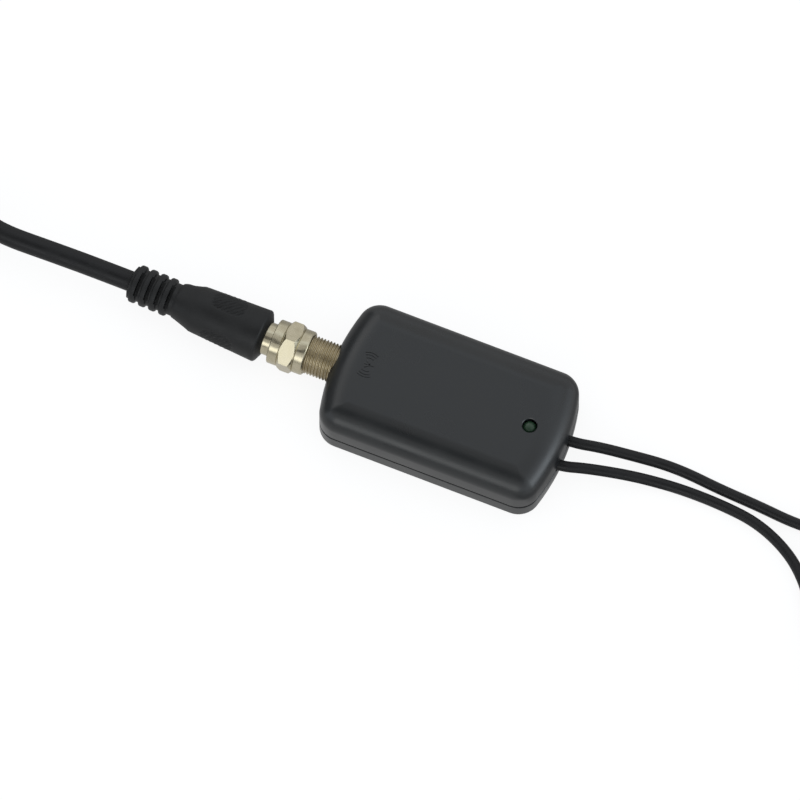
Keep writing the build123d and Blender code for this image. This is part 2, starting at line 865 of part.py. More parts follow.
with BuildPart() as far_plug_pin:
    add(plug_pin(far_plane))
far_plug_pin.part.label = "far_plug_pin"

# Thin leads, tied inside the end wall, with their cores soldered under the board
lead_low = lead_diameter / 2 + floor_gap
lead_pitch = lead_diameter + lead_layer_gap
lead_high = lead_low + lead_pitch
lead_start = case_end - lead_inside

tie_middle = lead_start + tie_inset
with BuildPart() as strain_tie:
    with BuildSketch(Plane(origin=(tie_middle - tie_width / 2, 0, seam_z), x_dir=(0, 1, 0), z_dir=(1, 0, 0))):
        room = lead_diameter + 2 * insert_clearance
        SlotCenterToCenter(2 * lead_offset, room + 2 * tie_thickness)
        SlotCenterToCenter(2 * lead_offset, room, mode=Mode.SUBTRACT)
    extrude(amount=tie_width)
    tie_top = seam_z + lead_diameter / 2 + insert_clearance + tie_thickness / 2
    add(chip_at(tie_middle, 0, tie_top, tie_head))
strain_tie.part.label = "strain_tie"

core_z = board_bottom - core_diameter / 2
with BuildPart() as lead_cores:
    for side in (1, -1):
        add(rod(along(0, side * lead_offset, core_z, 0), lead_start - core_length, lead_start, core_diameter))
lead_cores.part.label = "lead_cores"

core_joint_x = lead_start - core_length - joint_diameter / 2
joint_places = [(core_joint_x, side * lead_offset) for side in (1, -1)] + led_leg_places
with BuildPart() as solder_joints:
    for place in joint_places:
        with Locations((*place, board_bottom - joint_height / 2)):
            Cone(joint_diameter / 4, joint_diameter / 2, joint_height)
solder_joints.part.label = "solder_joints"

usb_centre = (115.6, -1.95)
usb_outer = 17.9
coil_solid, usb_coil_start, usb_coil_end = coil(
    "usb_lead_coil",
    usb_centre,
    usb_outer,
    lead_pitch,
    lead_low,
    lead_high,
    turns=17 / 3,
    spin=-1,
    first_angle=90,
    diameter=lead_diameter,
    from_top=False,
)
with BuildPart() as usb_lead_coil:
    add(coil_solid)
usb_lead_coil.part.label = "usb_lead_coil"

usb_route = [
    (lead_start, lead_offset, seam_z),
    (31.2, lead_offset, seam_z),
    (37.6, 5.2, 4.75),
    (45.0, 6.75, 2.85),
    (52.0, 8.05, 1.45),
    (58.5, 7.95, lead_low),
    (66.5, 7.1, lead_low),
    (76.5, 6.6, lead_low),
    (85.5, 5.85, lead_low),
    (93.5, 5.95, lead_low),
    (99.4, 9.9, lead_low),
    (103.6, 13.6, lead_low),
    (108.2, usb_coil_start.Y, lead_low),
    (usb_coil_start.X, usb_coil_start.Y, usb_coil_start.Z),
]
with BuildPart() as usb_lead:
    add(tube("usb_lead", usb_route, lead_diameter))
usb_lead.part.label = "usb_lead"

usb_plug_z = lead_high + lead_diameter / 2 + usb_rest_gap + usb_body_height / 2
usb_plug_start = (109.9, 8.95)
usb_end_route = [
    (usb_coil_end.X, usb_coil_end.Y, usb_coil_end.Z),
    (95.9, -3.65, usb_coil_end.Z),
    (95.7, 1.9, 5.9),
    (98.4, 6.9, 7.9),
    (103.6, usb_plug_start[1], usb_plug_z),
    (*usb_plug_start, usb_plug_z),
]
with BuildPart() as usb_lead_end:
    add(tube("usb_lead_end", usb_end_route, lead_diameter))
usb_lead_end.part.label = "usb_lead_end"

# USB plug on the coil: moulded body, folded shell, tongue and four contacts
usb_face = usb_plug_start[0] + usb_body_length
usb_y = usb_plug_start[1]
usb_plane = Plane(origin=(usb_plug_start[0], usb_y, usb_plug_z), x_dir=(0, 1, 0), z_dir=(1, 0, 0))
with BuildPart() as usb_plug_body:
    with BuildSketch(usb_plane):
        RectangleRounded(usb_body_width, usb_body_height, usb_body_round)
    extrude(amount=usb_body_length)
    chamfer(usb_plug_body.edges().group_by(Axis.X)[0], usb_body_edge)
    with BuildSketch(usb_plane.offset(usb_body_length - usb_root)):
        Rectangle(usb_shell_width, usb_shell_height)
    extrude(amount=usb_root, mode=Mode.SUBTRACT)
usb_plug_body.part.label = "usb_plug_body"

shell_inner = (usb_shell_width - 2 * usb_shell_wall, usb_shell_height - 2 * usb_shell_wall)
with BuildPart() as usb_shell:
    with BuildSketch(usb_plane.offset(usb_body_length - usb_root)):
        Rectangle(usb_shell_width, usb_shell_height)
        Rectangle(*shell_inner, mode=Mode.SUBTRACT)
    extrude(amount=usb_root + usb_shell_length)
    window_x = usb_face + usb_window_inset
    with BuildSketch(Plane.XY.offset(usb_plug_z - usb_shell_height)):
        with Locations(*[(window_x, usb_y + side * usb_window_spacing / 2) for side in (1, -1)]):
            Rectangle(usb_window, usb_window)
    extrude(amount=2 * usb_shell_height, mode=Mode.SUBTRACT)
usb_shell.part.label = "usb_shell"

tongue_base = usb_plug_z - shell_inner[1] / 2
tongue_end = usb_face + usb_shell_length - usb_tongue_inset
with BuildPart() as usb_tongue:
    add(
        box_at(
            (usb_face - usb_root, usb_y - shell_inner[0] / 2, tongue_base),
            (tongue_end, usb_y + shell_inner[0] / 2, tongue_base + usb_tongue_thickness),
        )
    )
usb_tongue.part.label = "usb_tongue"

with BuildPart() as usb_contacts:
    contact_base = tongue_base + usb_tongue_thickness
    contact_x = tongue_end - usb_contact_inset - usb_contact[0] / 2
    for column in range(4):
        contact_y = usb_y + (column - 1.5) * usb_contact_pitch
        add(chip_at(contact_x, contact_y, contact_base, usb_contact))
usb_contacts.part.label = "usb_contacts"

# TV lead and its F plug on the floor
tv_heading = -35.0
tv_start = (108.8, -24.0)
tv_straight = 6.0
tv_run = Vector(cos(radians(tv_heading)), sin(radians(tv_heading)), 0) * tv_straight
tv_lead_route = [
    (lead_start, -lead_offset, seam_z),
    (31.2, -lead_offset, seam_z),
    (37.6, -0.8, 4.7),
    (45.0, 1.65, 2.9),
    (52.5, 3.3, 1.5),
    (60.0, 3.85, lead_low),
    (69.0, 3.65, lead_low),
    (77.5, 2.65, lead_low),
    (85.5, -0.6, lead_low),
    (92.0, -5.4, lead_low),
    (98.2, -13.5, 2.6),
    (tv_start[0] - tv_run.X, tv_start[1] - tv_run.Y, nut_rest_z),
    (*tv_start, nut_rest_z),
]
with BuildPart() as tv_lead:
    add(tube("tv_lead", tv_lead_route, lead_diameter))
tv_lead.part.label = "tv_lead"

tv_cord_plane = along(*tv_start, nut_rest_z, tv_heading)
tv_rear = tv_cord_plane.origin + tv_cord_plane.x_dir * (tv_boot_length + tv_boot_gap)
tv_plane = along(tv_rear.X, tv_rear.Y, nut_rest_z, tv_heading)
tv_sleeve_end = tv_boot_length + tv_boot_gap - ferrule_length

with BuildPart() as tv_plug_boot:
    tv_boot_outline = [
        (0, 0),
        (0, tv_boot_neck_radius),
        (tv_boot_neck - tv_boot_slope, tv_boot_neck_radius + tv_boot_swell),
        (tv_boot_neck, tv_boot_radius),
        (tv_boot_length - tv_boot_chamfer, tv_boot_radius),
        (tv_boot_length, tv_boot_radius - tv_boot_chamfer),
        (tv_boot_length, 0),
    ]
    add(turned(tv_cord_plane, tv_boot_outline))
    lead_room = lead_diameter + 2 * insert_clearance
    add(rod(tv_cord_plane, -cut_extra, tv_sleeve_end, lead_room), mode=Mode.SUBTRACT)
    sleeve_stop = tv_boot_length + cut_extra
    add(rod(tv_cord_plane, tv_sleeve_end - insert_clearance, sleeve_stop, sleeve_room), mode=Mode.SUBTRACT)
tv_plug_boot.part.label = "tv_plug_boot"

with BuildPart() as tv_lead_root:
    add(rod(tv_cord_plane, 0, tv_sleeve_end, lead_diameter))
tv_lead_root.part.label = "tv_lead_root"

with BuildPart() as tv_plug_nut:
    add(plug_nut(tv_plane, lying_nut_lean))
tv_plug_nut.part.label = "tv_plug_nut"

with BuildPart() as tv_plug_ferrule:
    add(plug_ferrule(tv_plane))
tv_plug_ferrule.part.label = "tv_plug_ferrule"

with BuildPart() as tv_plug_dielectric:
    add(plug_dielectric(tv_plane))
tv_plug_dielectric.part.label = "tv_plug_dielectric"

with BuildPart() as tv_plug_pin:
    add(plug_pin(tv_plane))
tv_plug_pin.part.label = "tv_plug_pin"

pieces = [
    housing_top, housing_bottom, case_screws, circuit_board, amplifier_chip, voltage_regulator,
    chip_capacitors, chip_resistors, bias_inductor, rf_shield, electrolytic_capacitor, led_lens, led_leads,
    jack_shell, jack_insulator, jack_contact, strain_tie, lead_cores, solder_joints,
    tv_lead, tv_lead_root, tv_plug_boot, tv_plug_ferrule, tv_plug_dielectric, tv_plug_pin, tv_plug_nut,
    usb_lead, usb_lead_coil, usb_lead_end, usb_plug_body, usb_shell, usb_tongue, usb_contacts,
    antenna_plug_boot, antenna_plug_ferrule, antenna_plug_dielectric, antenna_plug_pin,
    antenna_cable_root, antenna_cable, antenna_cable_coil, antenna_cable_end,
    far_plug_ferrule, far_plug_dielectric, far_plug_pin, far_plug_nut, coupling_nut,
]
for piece in pieces:
    export_step(piece.part, f"parts/{piece.part.label}.step")
print("pieces", len(pieces))
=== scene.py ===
from math import atan2, cos, exp, pi, radians, sin, sqrt

import bmesh
import bpy
from mathutils import Matrix, Vector


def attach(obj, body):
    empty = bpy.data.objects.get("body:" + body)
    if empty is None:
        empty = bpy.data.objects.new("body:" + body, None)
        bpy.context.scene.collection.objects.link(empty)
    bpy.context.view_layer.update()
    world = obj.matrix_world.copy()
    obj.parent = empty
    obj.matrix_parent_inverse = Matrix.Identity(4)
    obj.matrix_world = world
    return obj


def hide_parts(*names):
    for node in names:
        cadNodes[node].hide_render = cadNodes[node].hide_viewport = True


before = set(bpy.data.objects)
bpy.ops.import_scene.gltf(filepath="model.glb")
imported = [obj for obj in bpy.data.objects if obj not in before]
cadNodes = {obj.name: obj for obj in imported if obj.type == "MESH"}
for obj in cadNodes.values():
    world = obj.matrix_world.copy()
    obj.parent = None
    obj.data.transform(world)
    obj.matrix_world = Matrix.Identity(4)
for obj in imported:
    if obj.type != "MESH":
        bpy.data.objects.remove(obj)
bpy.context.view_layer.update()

mm = 0.001
scene = bpy.context.scene
scene.view_settings.view_transform = "Standard"


# Camera: the photograph's angle, from far off, so that it hardly narrows
cameraSetup = {
    "azimuth": 22.2, "elevation": 67.8, "aimRight": -11.677, "aimUp": 4.386, "lens": 1000, "sensor": 36,
    "across": 190.25,  # mm of the object from edge to edge of the picture
}


def makeCamera():
    turn, tilt = radians(cameraSetup["azimuth"]), radians(cameraSetup["elevation"])
    right = Vector((cos(turn), sin(turn), 0))
    up = Vector((-sin(turn) * sin(tilt), cos(turn) * sin(tilt), cos(tilt)))
    back = Vector((sin(turn) * cos(tilt), -cos(turn) * cos(tilt), sin(tilt)))
    target = (right * cameraSetup["aimRight"] + up * cameraSetup["aimUp"]) * mm
    distance = cameraSetup["lens"] * cameraSetup["across"] * mm / cameraSetup["sensor"]
    lens = bpy.data.cameras.new("photoCamera")
    lens.lens = cameraSetup["lens"]
    lens.sensor_width = cameraSetup["sensor"]
    lens.clip_start, lens.clip_end = 0.1, 50
    camera = bpy.data.objects.new("photoCamera", lens)
    camera.location = target + back * distance
    camera.rotation_mode = "QUATERNION"
    camera.rotation_quaternion = (-back).to_track_quat("-Z", "Y")
    scene.collection.objects.link(camera)
    scene.camera = camera
    print("camera", round(distance, 3), "m away")


makeCamera()


# Node groups: the effects that several finishes share
def newGroup(name, inputs, outputs):
    group = bpy.data.node_groups.new(name, "ShaderNodeTree")
    for label, value in inputs:
        socket = group.interface.new_socket(name=label, in_out="INPUT", socket_type="NodeSocketFloat")
        socket.default_value = value
    for label in outputs:
        group.interface.new_socket(name=label, in_out="OUTPUT", socket_type="NodeSocketFloat")
    return group, group.nodes.new("NodeGroupInput"), group.nodes.new("NodeGroupOutput")


def addNode(group, kind, links=(), **values):
    # A node of a kind, with what feeds its inputs and the values of the others
    node = group.nodes.new("ShaderNode" + kind)
    for label, source in links:
        group.links.new(source, node.inputs[label])
    for label, value in values.items():
        node.inputs[label].default_value = value
    return node


def addMath(group, operation, first, second):
    node = group.nodes.new("ShaderNodeMath")
    node.operation = operation
    for socket, value in zip(node.inputs, (first, second)):
        if isinstance(value, (int, float)):
            socket.default_value = value
        else:
            group.links.new(value, socket)
    return node.outputs[0]


def addNoise(group, place, scale, **values):
    return addNode(group, "TexNoise", [("Vector", place), ("Scale", scale)], **values).outputs["Fac"]


def addRange(group, value, low, high, toLow=0.0, toHigh=1.0):
    node = addNode(group, "MapRange", [("Value", value)])
    node.interpolation_type = "SMOOTHSTEP"
    for label, setting in (("From Min", low), ("From Max", high), ("To Min", toLow), ("To Max", toHigh)):
        node.inputs[label].default_value = setting
    return node.outputs["Result"]


def makeGrain():
    # A moulded or plated surface: a fine height and a slow change of tone
    group, given, wanted = newGroup("fineGrain", [("Scale", 4000.0), ("Cloud", 90.0)], ["Height", "Tone"])
    place = addNode(group, "TexCoord").outputs["Object"]
    fine = addNoise(group, place, given.outputs["Scale"], Detail=3, Roughness=0.6)
    cloud = addNoise(group, place, given.outputs["Cloud"], Detail=4)
    group.links.new(fine, wanted.inputs["Height"])
    group.links.new(addRange(group, cloud, 0.3, 0.7), wanted.inputs["Tone"])
    return group


def makeFlecks():
    # Separate small flecks, as in laminate, ferrite or dust
    group, given, wanted = newGroup("flecks", [("Scale", 900.0), ("Share", 0.2)], ["Mask"])
    place = addNode(group, "TexCoord").outputs["Object"]
    cells = addNode(group, "TexVoronoi", [("Vector", place), ("Scale", given.outputs["Scale"])])
    inside = addMath(group, "LESS_THAN", cells.outputs["Distance"], given.outputs["Share"])
    group.links.new(inside, wanted.inputs["Mask"])
    return group


def makeStreaks():
    # Long soft marks along one level direction, as extrusion or brushing leaves
    inputs = [("Heading", 0.0), ("Scale", 2500.0), ("Stretch", 0.04)]
    group, given, wanted = newGroup("streaks", inputs, ["Mask"])
    place = addNode(group, "TexCoord").outputs["Object"]
    turn = addNode(group, "VectorRotate", [("Vector", place), ("Angle", given.outputs["Heading"])])
    turn.rotation_type = "Z_AXIS"
    shape = addNode(group, "CombineXYZ", [("X", given.outputs["Stretch"])], Y=1, Z=1)
    squeeze = addNode(group, "VectorMath", [(0, turn.outputs["Vector"]), (1, shape.outputs["Vector"])])
    squeeze.operation = "MULTIPLY"
    noise = addNoise(group, squeeze.outputs["Vector"], given.outputs["Scale"], Detail=2)
    group.links.new(noise, wanted.inputs["Mask"])
    return group


grainGroup = makeGrain()
fleckGroup = makeFlecks()
streakGroup = makeStreaks()


def placeGroup(material, group, **values):
    node = material.node_tree.nodes.new("ShaderNodeGroup")
    node.node_tree = group
    for label, value in values.items():
        node.inputs[label].default_value = value
    return node


def mixColour(material, factor, first, second):
    node = material.node_tree.nodes.new("ShaderNodeMix")
    node.data_type = "RGBA"
    for label, value in (("A", first), ("B", second)):
        socket = [s for s in node.inputs if s.name == label and s.type == "RGBA"][0]
        if isinstance(value, tuple):
            socket.default_value = (*value, 1)
        else:
            material.node_tree.links.new(value, socket)
    material.node_tree.links.new(factor, node.inputs["Factor"])
    return [s for s in node.outputs if s.type == "RGBA"][0]


def makeFinish(name, looks):
    # One finish: two tones mixed by a cloud, a roughness that follows it, and a bump from the grain
    material = bpy.data.materials.new(name)
    material.use_nodes = True
    links = material.node_tree.links
    shader = material.node_tree.nodes["Principled BSDF"]
    grain = placeGroup(material, grainGroup, Scale=looks["grain"], Cloud=looks.get("cloud", 90.0))
    colour = mixColour(material, grain.outputs["Tone"], looks["dark"], looks["light"])
    if "flecks" in looks:
        scale, share, tint = looks["flecks"]
        flecks = placeGroup(material, fleckGroup, Scale=scale, Share=share)
        colour = mixColour(material, flecks.outputs["Mask"], colour, tint)
    height = grain.outputs["Height"]
    if "streaks" in looks:
        heading, scale, stretch = looks["streaks"]
        streaks = placeGroup(material, streakGroup, Heading=radians(heading), Scale=scale, Stretch=stretch)
        height = addMath(material.node_tree, "ADD", height, streaks.outputs["Mask"])
    links.new(colour, shader.inputs["Base Color"])
    smooth, rough = looks["rough"]
    roughness = addRange(material.node_tree, grain.outputs["Tone"], 0, 1, smooth, rough)
    links.new(roughness, shader.inputs["Roughness"])
    strength, depth = looks.get("bump", 0.3), looks.get("depth", 0.02) * mm
    bump = addNode(material.node_tree, "Bump", [("Height", height)], Strength=strength, Distance=depth)
    links.new(bump.outputs["Normal"], shader.inputs["Normal"])
    for label, key, usual in (("Metallic", "metal", 0.0), ("Specular IOR Level", "gloss", 0.5),
                              ("Coat Weight", "coat", 0.0), ("Transmission Weight", "clear", 0.0)):
        shader.inputs[label].default_value = looks.get(key, usual)
    material.diffuse_color = (*looks["light"], 1)
    return material


finishes = {
    "housingPlastic": {"dark": (0.0082, 0.0098, 0.0110), "light": (0.0104, 0.0121, 0.0134),
        "rough": (0.27, 0.33), "grain": 5200, "cloud": 60, "bump": 0.35, "depth": 0.012, "gloss": 0.56},
    "screwSteel": {"dark": (0.20, 0.20, 0.21), "light": (0.32, 0.32, 0.33), "rough": (0.28, 0.42),
        "metal": 1.0, "grain": 3000, "cloud": 900},
    "boardLaminate": {"dark": (0.010, 0.075, 0.028), "light": (0.016, 0.11, 0.04), "rough": (0.32, 0.42),
        "grain": 2600, "flecks": (620.0, 0.16, (0.45, 0.33, 0.09))},
    "chipEpoxy": {"dark": (0.012, 0.012, 0.013), "light": (0.02, 0.02, 0.021), "rough": (0.5, 0.62),
        "grain": 6500, "depth": 0.03},
    "ceramic": {"dark": (0.36, 0.25, 0.16), "light": (0.46, 0.33, 0.22), "rough": (0.42, 0.55),
        "grain": 7000, "cloud": 1500},
    "ferrite": {"dark": (0.035, 0.034, 0.033), "light": (0.07, 0.068, 0.066), "rough": (0.55, 0.7),
        "grain": 5200, "depth": 0.04, "flecks": (3800.0, 0.12, (0.14, 0.14, 0.14))},
    "tinnedSteel": {"dark": (0.55, 0.55, 0.54), "light": (0.70, 0.70, 0.69), "rough": (0.28, 0.42),
        "metal": 1.0, "grain": 2400, "cloud": 500},
    "canAluminium": {"dark": (0.62, 0.63, 0.65), "light": (0.76, 0.77, 0.79), "rough": (0.22, 0.34),
        "metal": 1.0, "grain": 2600, "cloud": 700},
    "ledGreen": {"dark": (0.012, 0.040, 0.017), "light": (0.020, 0.058, 0.027), "rough": (0.34, 0.42),
        "grain": 900, "cloud": 700, "bump": 0.05, "gloss": 0.42, "coat": 0.12, "clear": 0.1},
    "tinnedWire": {"dark": (0.58, 0.57, 0.55), "light": (0.74, 0.73, 0.71), "rough": (0.25, 0.4),
        "metal": 1.0, "grain": 5200, "cloud": 1800},
    "nickel": {"dark": (0.51, 0.465, 0.335), "light": (0.59, 0.54, 0.40), "rough": (0.21, 0.28),
        "metal": 1.0, "grain": 3600, "cloud": 420, "bump": 0.2, "depth": 0.008},
    "dullNickel": {"dark": (0.47, 0.41, 0.285), "light": (0.57, 0.505, 0.365), "rough": (0.38, 0.46),
        "metal": 1.0, "grain": 3000, "cloud": 380, "depth": 0.012},
    "contactBrass": {"dark": (0.62, 0.42, 0.16), "light": (0.78, 0.56, 0.24), "rough": (0.22, 0.34),
        "metal": 1.0, "grain": 4200, "cloud": 800},
    "coreCopper": {"dark": (0.62, 0.28, 0.14), "light": (0.80, 0.40, 0.22), "rough": (0.24, 0.38),
        "metal": 1.0, "grain": 4200, "cloud": 900},
    "whiteInsulator": {"dark": (0.72, 0.71, 0.68), "light": (0.82, 0.81, 0.79), "rough": (0.42, 0.55),
        "grain": 3800, "cloud": 500},
    "blackNylon": {"dark": (0.012, 0.012, 0.013), "light": (0.022, 0.022, 0.023), "rough": (0.38, 0.5),
        "grain": 5200},
    "cordVinyl": {"dark": (0.0046, 0.0049, 0.0060), "light": (0.0070, 0.0073, 0.0086),
        "rough": (0.42, 0.54), "grain": 2600, "cloud": 240, "gloss": 0.32},
    "bootVinyl": {"dark": (0.0062, 0.0068, 0.0074), "light": (0.0095, 0.0101, 0.0108),
        "rough": (0.46, 0.58), "grain": 4200, "cloud": 160, "depth": 0.016, "gloss": 0.36},
    "usbSteel": {"dark": (0.58, 0.58, 0.58), "light": (0.72, 0.72, 0.72), "rough": (0.2, 0.3), "metal": 1.0,
        "grain": 3000, "cloud": 300, "streaks": (0.0, 3000.0, 0.03)},
}
materials = {name: makeFinish(name, looks) for name, looks in finishes.items()}
print("finishes", len(materials))


# Ways of working that several pieces share
def startFresh():
    if bpy.context.mode != "OBJECT":
        bpy.ops.object.mode_set(mode="OBJECT")
    bpy.ops.object.select_all(action="DESELECT")


def pickOnly(piece):
    startFresh()
    piece.select_set(True)
    bpy.context.view_layer.objects.active = piece


def openPiece(piece, kind="FACE", chosen="DESELECT"):
    pickOnly(piece)
    bpy.ops.object.mode_set(mode="EDIT")
    bpy.ops.mesh.select_mode(type=kind)
    bpy.ops.mesh.select_all(action=chosen)
    return bmesh.from_edit_mesh(piece.data)


def namePiece(name):
    # The piece that an operator has just added
    piece = bpy.context.object
    piece.name = piece.data.name = name
    return piece


def closePiece():
    bpy.ops.object.mode_set(mode="OBJECT")


def finishWith(piece, kind, **settings):
    pickOnly(piece)
    modifier = piece.modifiers.new(kind.lower(), kind)
    for label, value in settings.items():
        setattr(modifier, label, value)
    bpy.ops.object.modifier_apply(modifier=modifier.name)


def cutWith(piece, tool, operation="DIFFERENCE"):
    finishWith(piece, "BOOLEAN", operation=operation, object=tool, solver="EXACT")
    bpy.data.objects.remove(tool)


def placePiece(piece, x, y, z, heading=0.0, roll=0.0, standing=False):
    # Lays a piece that was made along X at its place, turned level, or standing along Z
    turn = Matrix.Rotation(radians(heading), 4, "Z") @ Matrix.Rotation(radians(roll), 4, "X")
    if standing:
        turn = turn @ Matrix.Rotation(radians(-90), 4, "Y")
    piece.matrix_world = Matrix.Translation(Vector((x, y, z)) * mm) @ turn
    pickOnly(piece)
    bpy.ops.object.transform_apply()
    return piece


def drawOutline(name, outline):
    # One vertex, extruded from point to point of (distance along X, radius)
    startFresh()
    bpy.ops.mesh.primitive_plane_add(size=mm, location=(0, 0, 0))
    piece = namePiece(name)
    openPiece(piece, "VERT", "SELECT")
    bpy.ops.mesh.merge(type="CENTER")
    last = outline[0]
    bpy.ops.transform.translate(value=(last[0] * mm, 0, last[1] * mm))
    for point in outline[1:]:
        step = ((point[0] - last[0]) * mm, 0, (point[1] - last[1]) * mm)
        bpy.ops.mesh.extrude_region_move(TRANSFORM_OT_translate={"value": step})
        last = point
    closePiece()
    return piece


def weldPiece(piece):
    openPiece(piece, "VERT", "SELECT")
    bpy.ops.mesh.remove_doubles(threshold=0.002 * mm)
    bpy.ops.mesh.normals_make_consistent(inside=False)
    closePiece()


def turnPiece(name, outline, steps=72):
    piece = drawOutline(name, outline)
    openPiece(piece, "VERT", "SELECT")
    bpy.ops.mesh.spin(steps=steps, angle=2 * pi, center=(0, 0, 0), axis=(1, 0, 0))
    closePiece()
    weldPiece(piece)
    return piece


def rodPiece(name, start, end, diameter, steps=72):
    radius = diameter / 2
    return turnPiece(name, [(start, 0), (start, radius), (end, radius), (end, 0)], steps)


def copyPiece(piece, name):
    copied = bpy.data.objects.new(name, piece.data.copy())
    scene.collection.objects.link(copied)
    return copied


def joinPieces(pieces):
    startFresh()
    for piece in pieces:
        piece.select_set(True)
    bpy.context.view_layer.objects.active = pieces[0]
    bpy.ops.object.join()
    return pieces[0]


def boxPiece(name, low, high, edge=0.0):
    startFresh()
    middle = [(a + b) / 2 * mm for a, b in zip(low, high)]
    bpy.ops.mesh.primitive_cube_add(size=1, location=middle)
    piece = namePiece(name)
    piece.scale = [(b - a) * mm for a, b in zip(low, high)]
    bpy.ops.object.transform_apply()
    if edge:
        finishWith(piece, "BEVEL", width=edge * mm, segments=3, limit_method="ANGLE", angle_limit=radians(30))
    return piece


def smoothPiece(piece, angle=32):
    pickOnly(piece)
    bpy.ops.object.shade_smooth_by_angle(angle=radians(angle))
    finishWith(piece, "WEIGHTED_NORMAL", keep_sharp=True, weight=60)


def coverPiece(piece, finish):
    piece.data.materials.clear()
    piece.data.materials.append(materials[finish])


def dressPiece(piece, body, replaced, finish):
    coverPiece(piece, finish)
    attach(piece, body)
    if replaced:
        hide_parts(*replaced)


def arcPoints(centre, radius, start, end, steps):
    # Points of a round edge in an outline, from one angle to another in degrees
    turns = [radians(start + (end - start) * step / steps) for step in range(steps + 1)]
    return [(centre[0] + radius * cos(turn), centre[1] + radius * sin(turn)) for turn in turns]


# Cords: the same route points as the solids, each a smooth line that its control points guide
cable = {
    "diameter": 5.0, "low": 2.505, "high": 7.955,
    "coilCentre": (-155.33, -15.1), "coilOuter": 29.1, "coilPitch": 5.45, "coilTurns": 3, "coilSpin": 1,
    "farHeading": 188.0, "farRises": [(0, 2.505), (5.4, 3.2), (11.6, 4.92), (16.1, 5.56), (20.2, 5.56)],
}
lead = {
    "diameter": 2.65, "low": 1.33, "high": 4.44,
    "coilCentre": (115.6, -1.95), "coilOuter": 17.9, "coilPitch": 3.11, "coilTurns": 17 / 3, "coilSpin": -1,
}
climbShare = 0.5
pointsPerTurn = 14


def coilPoints(cord, first, last):
    # Turns that wind in on one layer and out on the other, from a first height to a last
    turns = cord["coilTurns"]
    count = round(turns * pointsPerTurn)
    points = []
    for step in range(count + 1):
        turn = turns * step / count
        angle = radians(90) + cord["coilSpin"] * 2 * pi * turn
        radius = cord["coilOuter"] - cord["coilPitch"] * min(turn, turns - turn)
        if 0 < step < count:
            radius /= cos(pi / pointsPerTurn) ** 0.5  # the line runs a little inside its control points
        climb = min(max((turn - turns / 2) / climbShare + 0.5, 0), 1)
        centre = cord["coilCentre"]
        height = first + (last - first) * climb
        points.append((centre[0] + radius * cos(angle), centre[1] + radius * sin(angle), height))
    return points


def makeCord(name, points, diameter):
    curve = bpy.data.curves.new(name, "CURVE")
    curve.dimensions = "3D"
    curve.bevel_depth = diameter / 2 * mm
    curve.bevel_resolution = 9
    curve.resolution_u = 6
    curve.use_fill_caps = True
    spline = curve.splines.new("NURBS")
    spline.points.add(len(points) - 1)
    for point, place in zip(spline.points, points):
        point.co = (*(Vector(place) * mm), 1)
    spline.order_u = 3
    spline.use_endpoint_u = True
    cord = bpy.data.objects.new(name, curve)
    scene.collection.objects.link(cord)
    return cord


cableTail = (-82.18, 1.26, 7.3)
farTurn = radians(cable["farHeading"])
farBend = (-165.83, 14.0)
cableRoute = [
    cableTail, (-91.975, 1.34, 7.3), (-103.0, 1.08, 7.6), (-115.0, 0.68, 7.955), (-121.2, 2.2, 7.955),
    (-126.45, 5.24, 7.955), (-132.8, 10.11, 7.955), (-138.31, 12.68, 7.955), (-144.25, 14.0, 7.955),
    *coilPoints(cable, cable["high"], cable["low"]),
    *[(farBend[0] + run * cos(farTurn), farBend[1] + run * sin(farTurn), rise)
      for run, rise in cable["farRises"]],
]
antennaCable = makeCord("antennaCable", cableRoute, cable["diameter"])
dressPiece(antennaCable, "antenna_plug", ["antenna_cable", "antenna_cable_coil", "antenna_cable_end"],
           "cordVinyl")

usbRoute = [
    (24.6, 3.4, 5.0), (30.4, 3.42, 5.0), (36.6, 4.85, 4.8), (45.0, 6.6, 2.85), (52.0, 7.85, 1.45),
    (58.5, 7.8, 1.33), (66.5, 6.95, 1.33), (76.5, 6.45, 1.33), (85.5, 5.6, 1.33), (93.5, 5.95, 1.33),
    (99.4, 9.9, 1.33), (103.6, 13.6, 1.33), (108.2, 15.95, 1.33),
    *coilPoints(lead, lead["low"], lead["high"]),
    (95.9, -3.65, 4.44), (95.7, 1.9, 5.9), (98.4, 6.9, 7.9), (103.6, 8.95, 9.815), (109.9, 8.95, 9.815),
]
usbLead = makeCord("usbLead", usbRoute, lead["diameter"])
dressPiece(usbLead, "amplifier", ["usb_lead", "usb_lead_coil", "usb_lead_end"], "cordVinyl")

tvPlugStart = (108.8, -24.0, 5.56)
tvRoute = [
    (24.6, -3.4, 5.0), (29.7, -3.35, 5.0), (35.6, -1.35, 4.75), (45.0, 1.45, 2.9), (52.5, 3.0, 1.5),
    (60.0, 3.55, 1.33), (69.0, 3.35, 1.33), (77.5, 2.4, 1.33), (85.5, -0.75, 1.33), (92.0, -5.4, 1.33),
    (98.2, -13.5, 2.6), (103.885, -20.559, 5.56), tvPlugStart,
]
tvLead = makeCord("tvLead", tvRoute, lead["diameter"])
dressPiece(tvLead, "amplifier", ["tv_lead"], "cordVinyl")
print("cords ready")


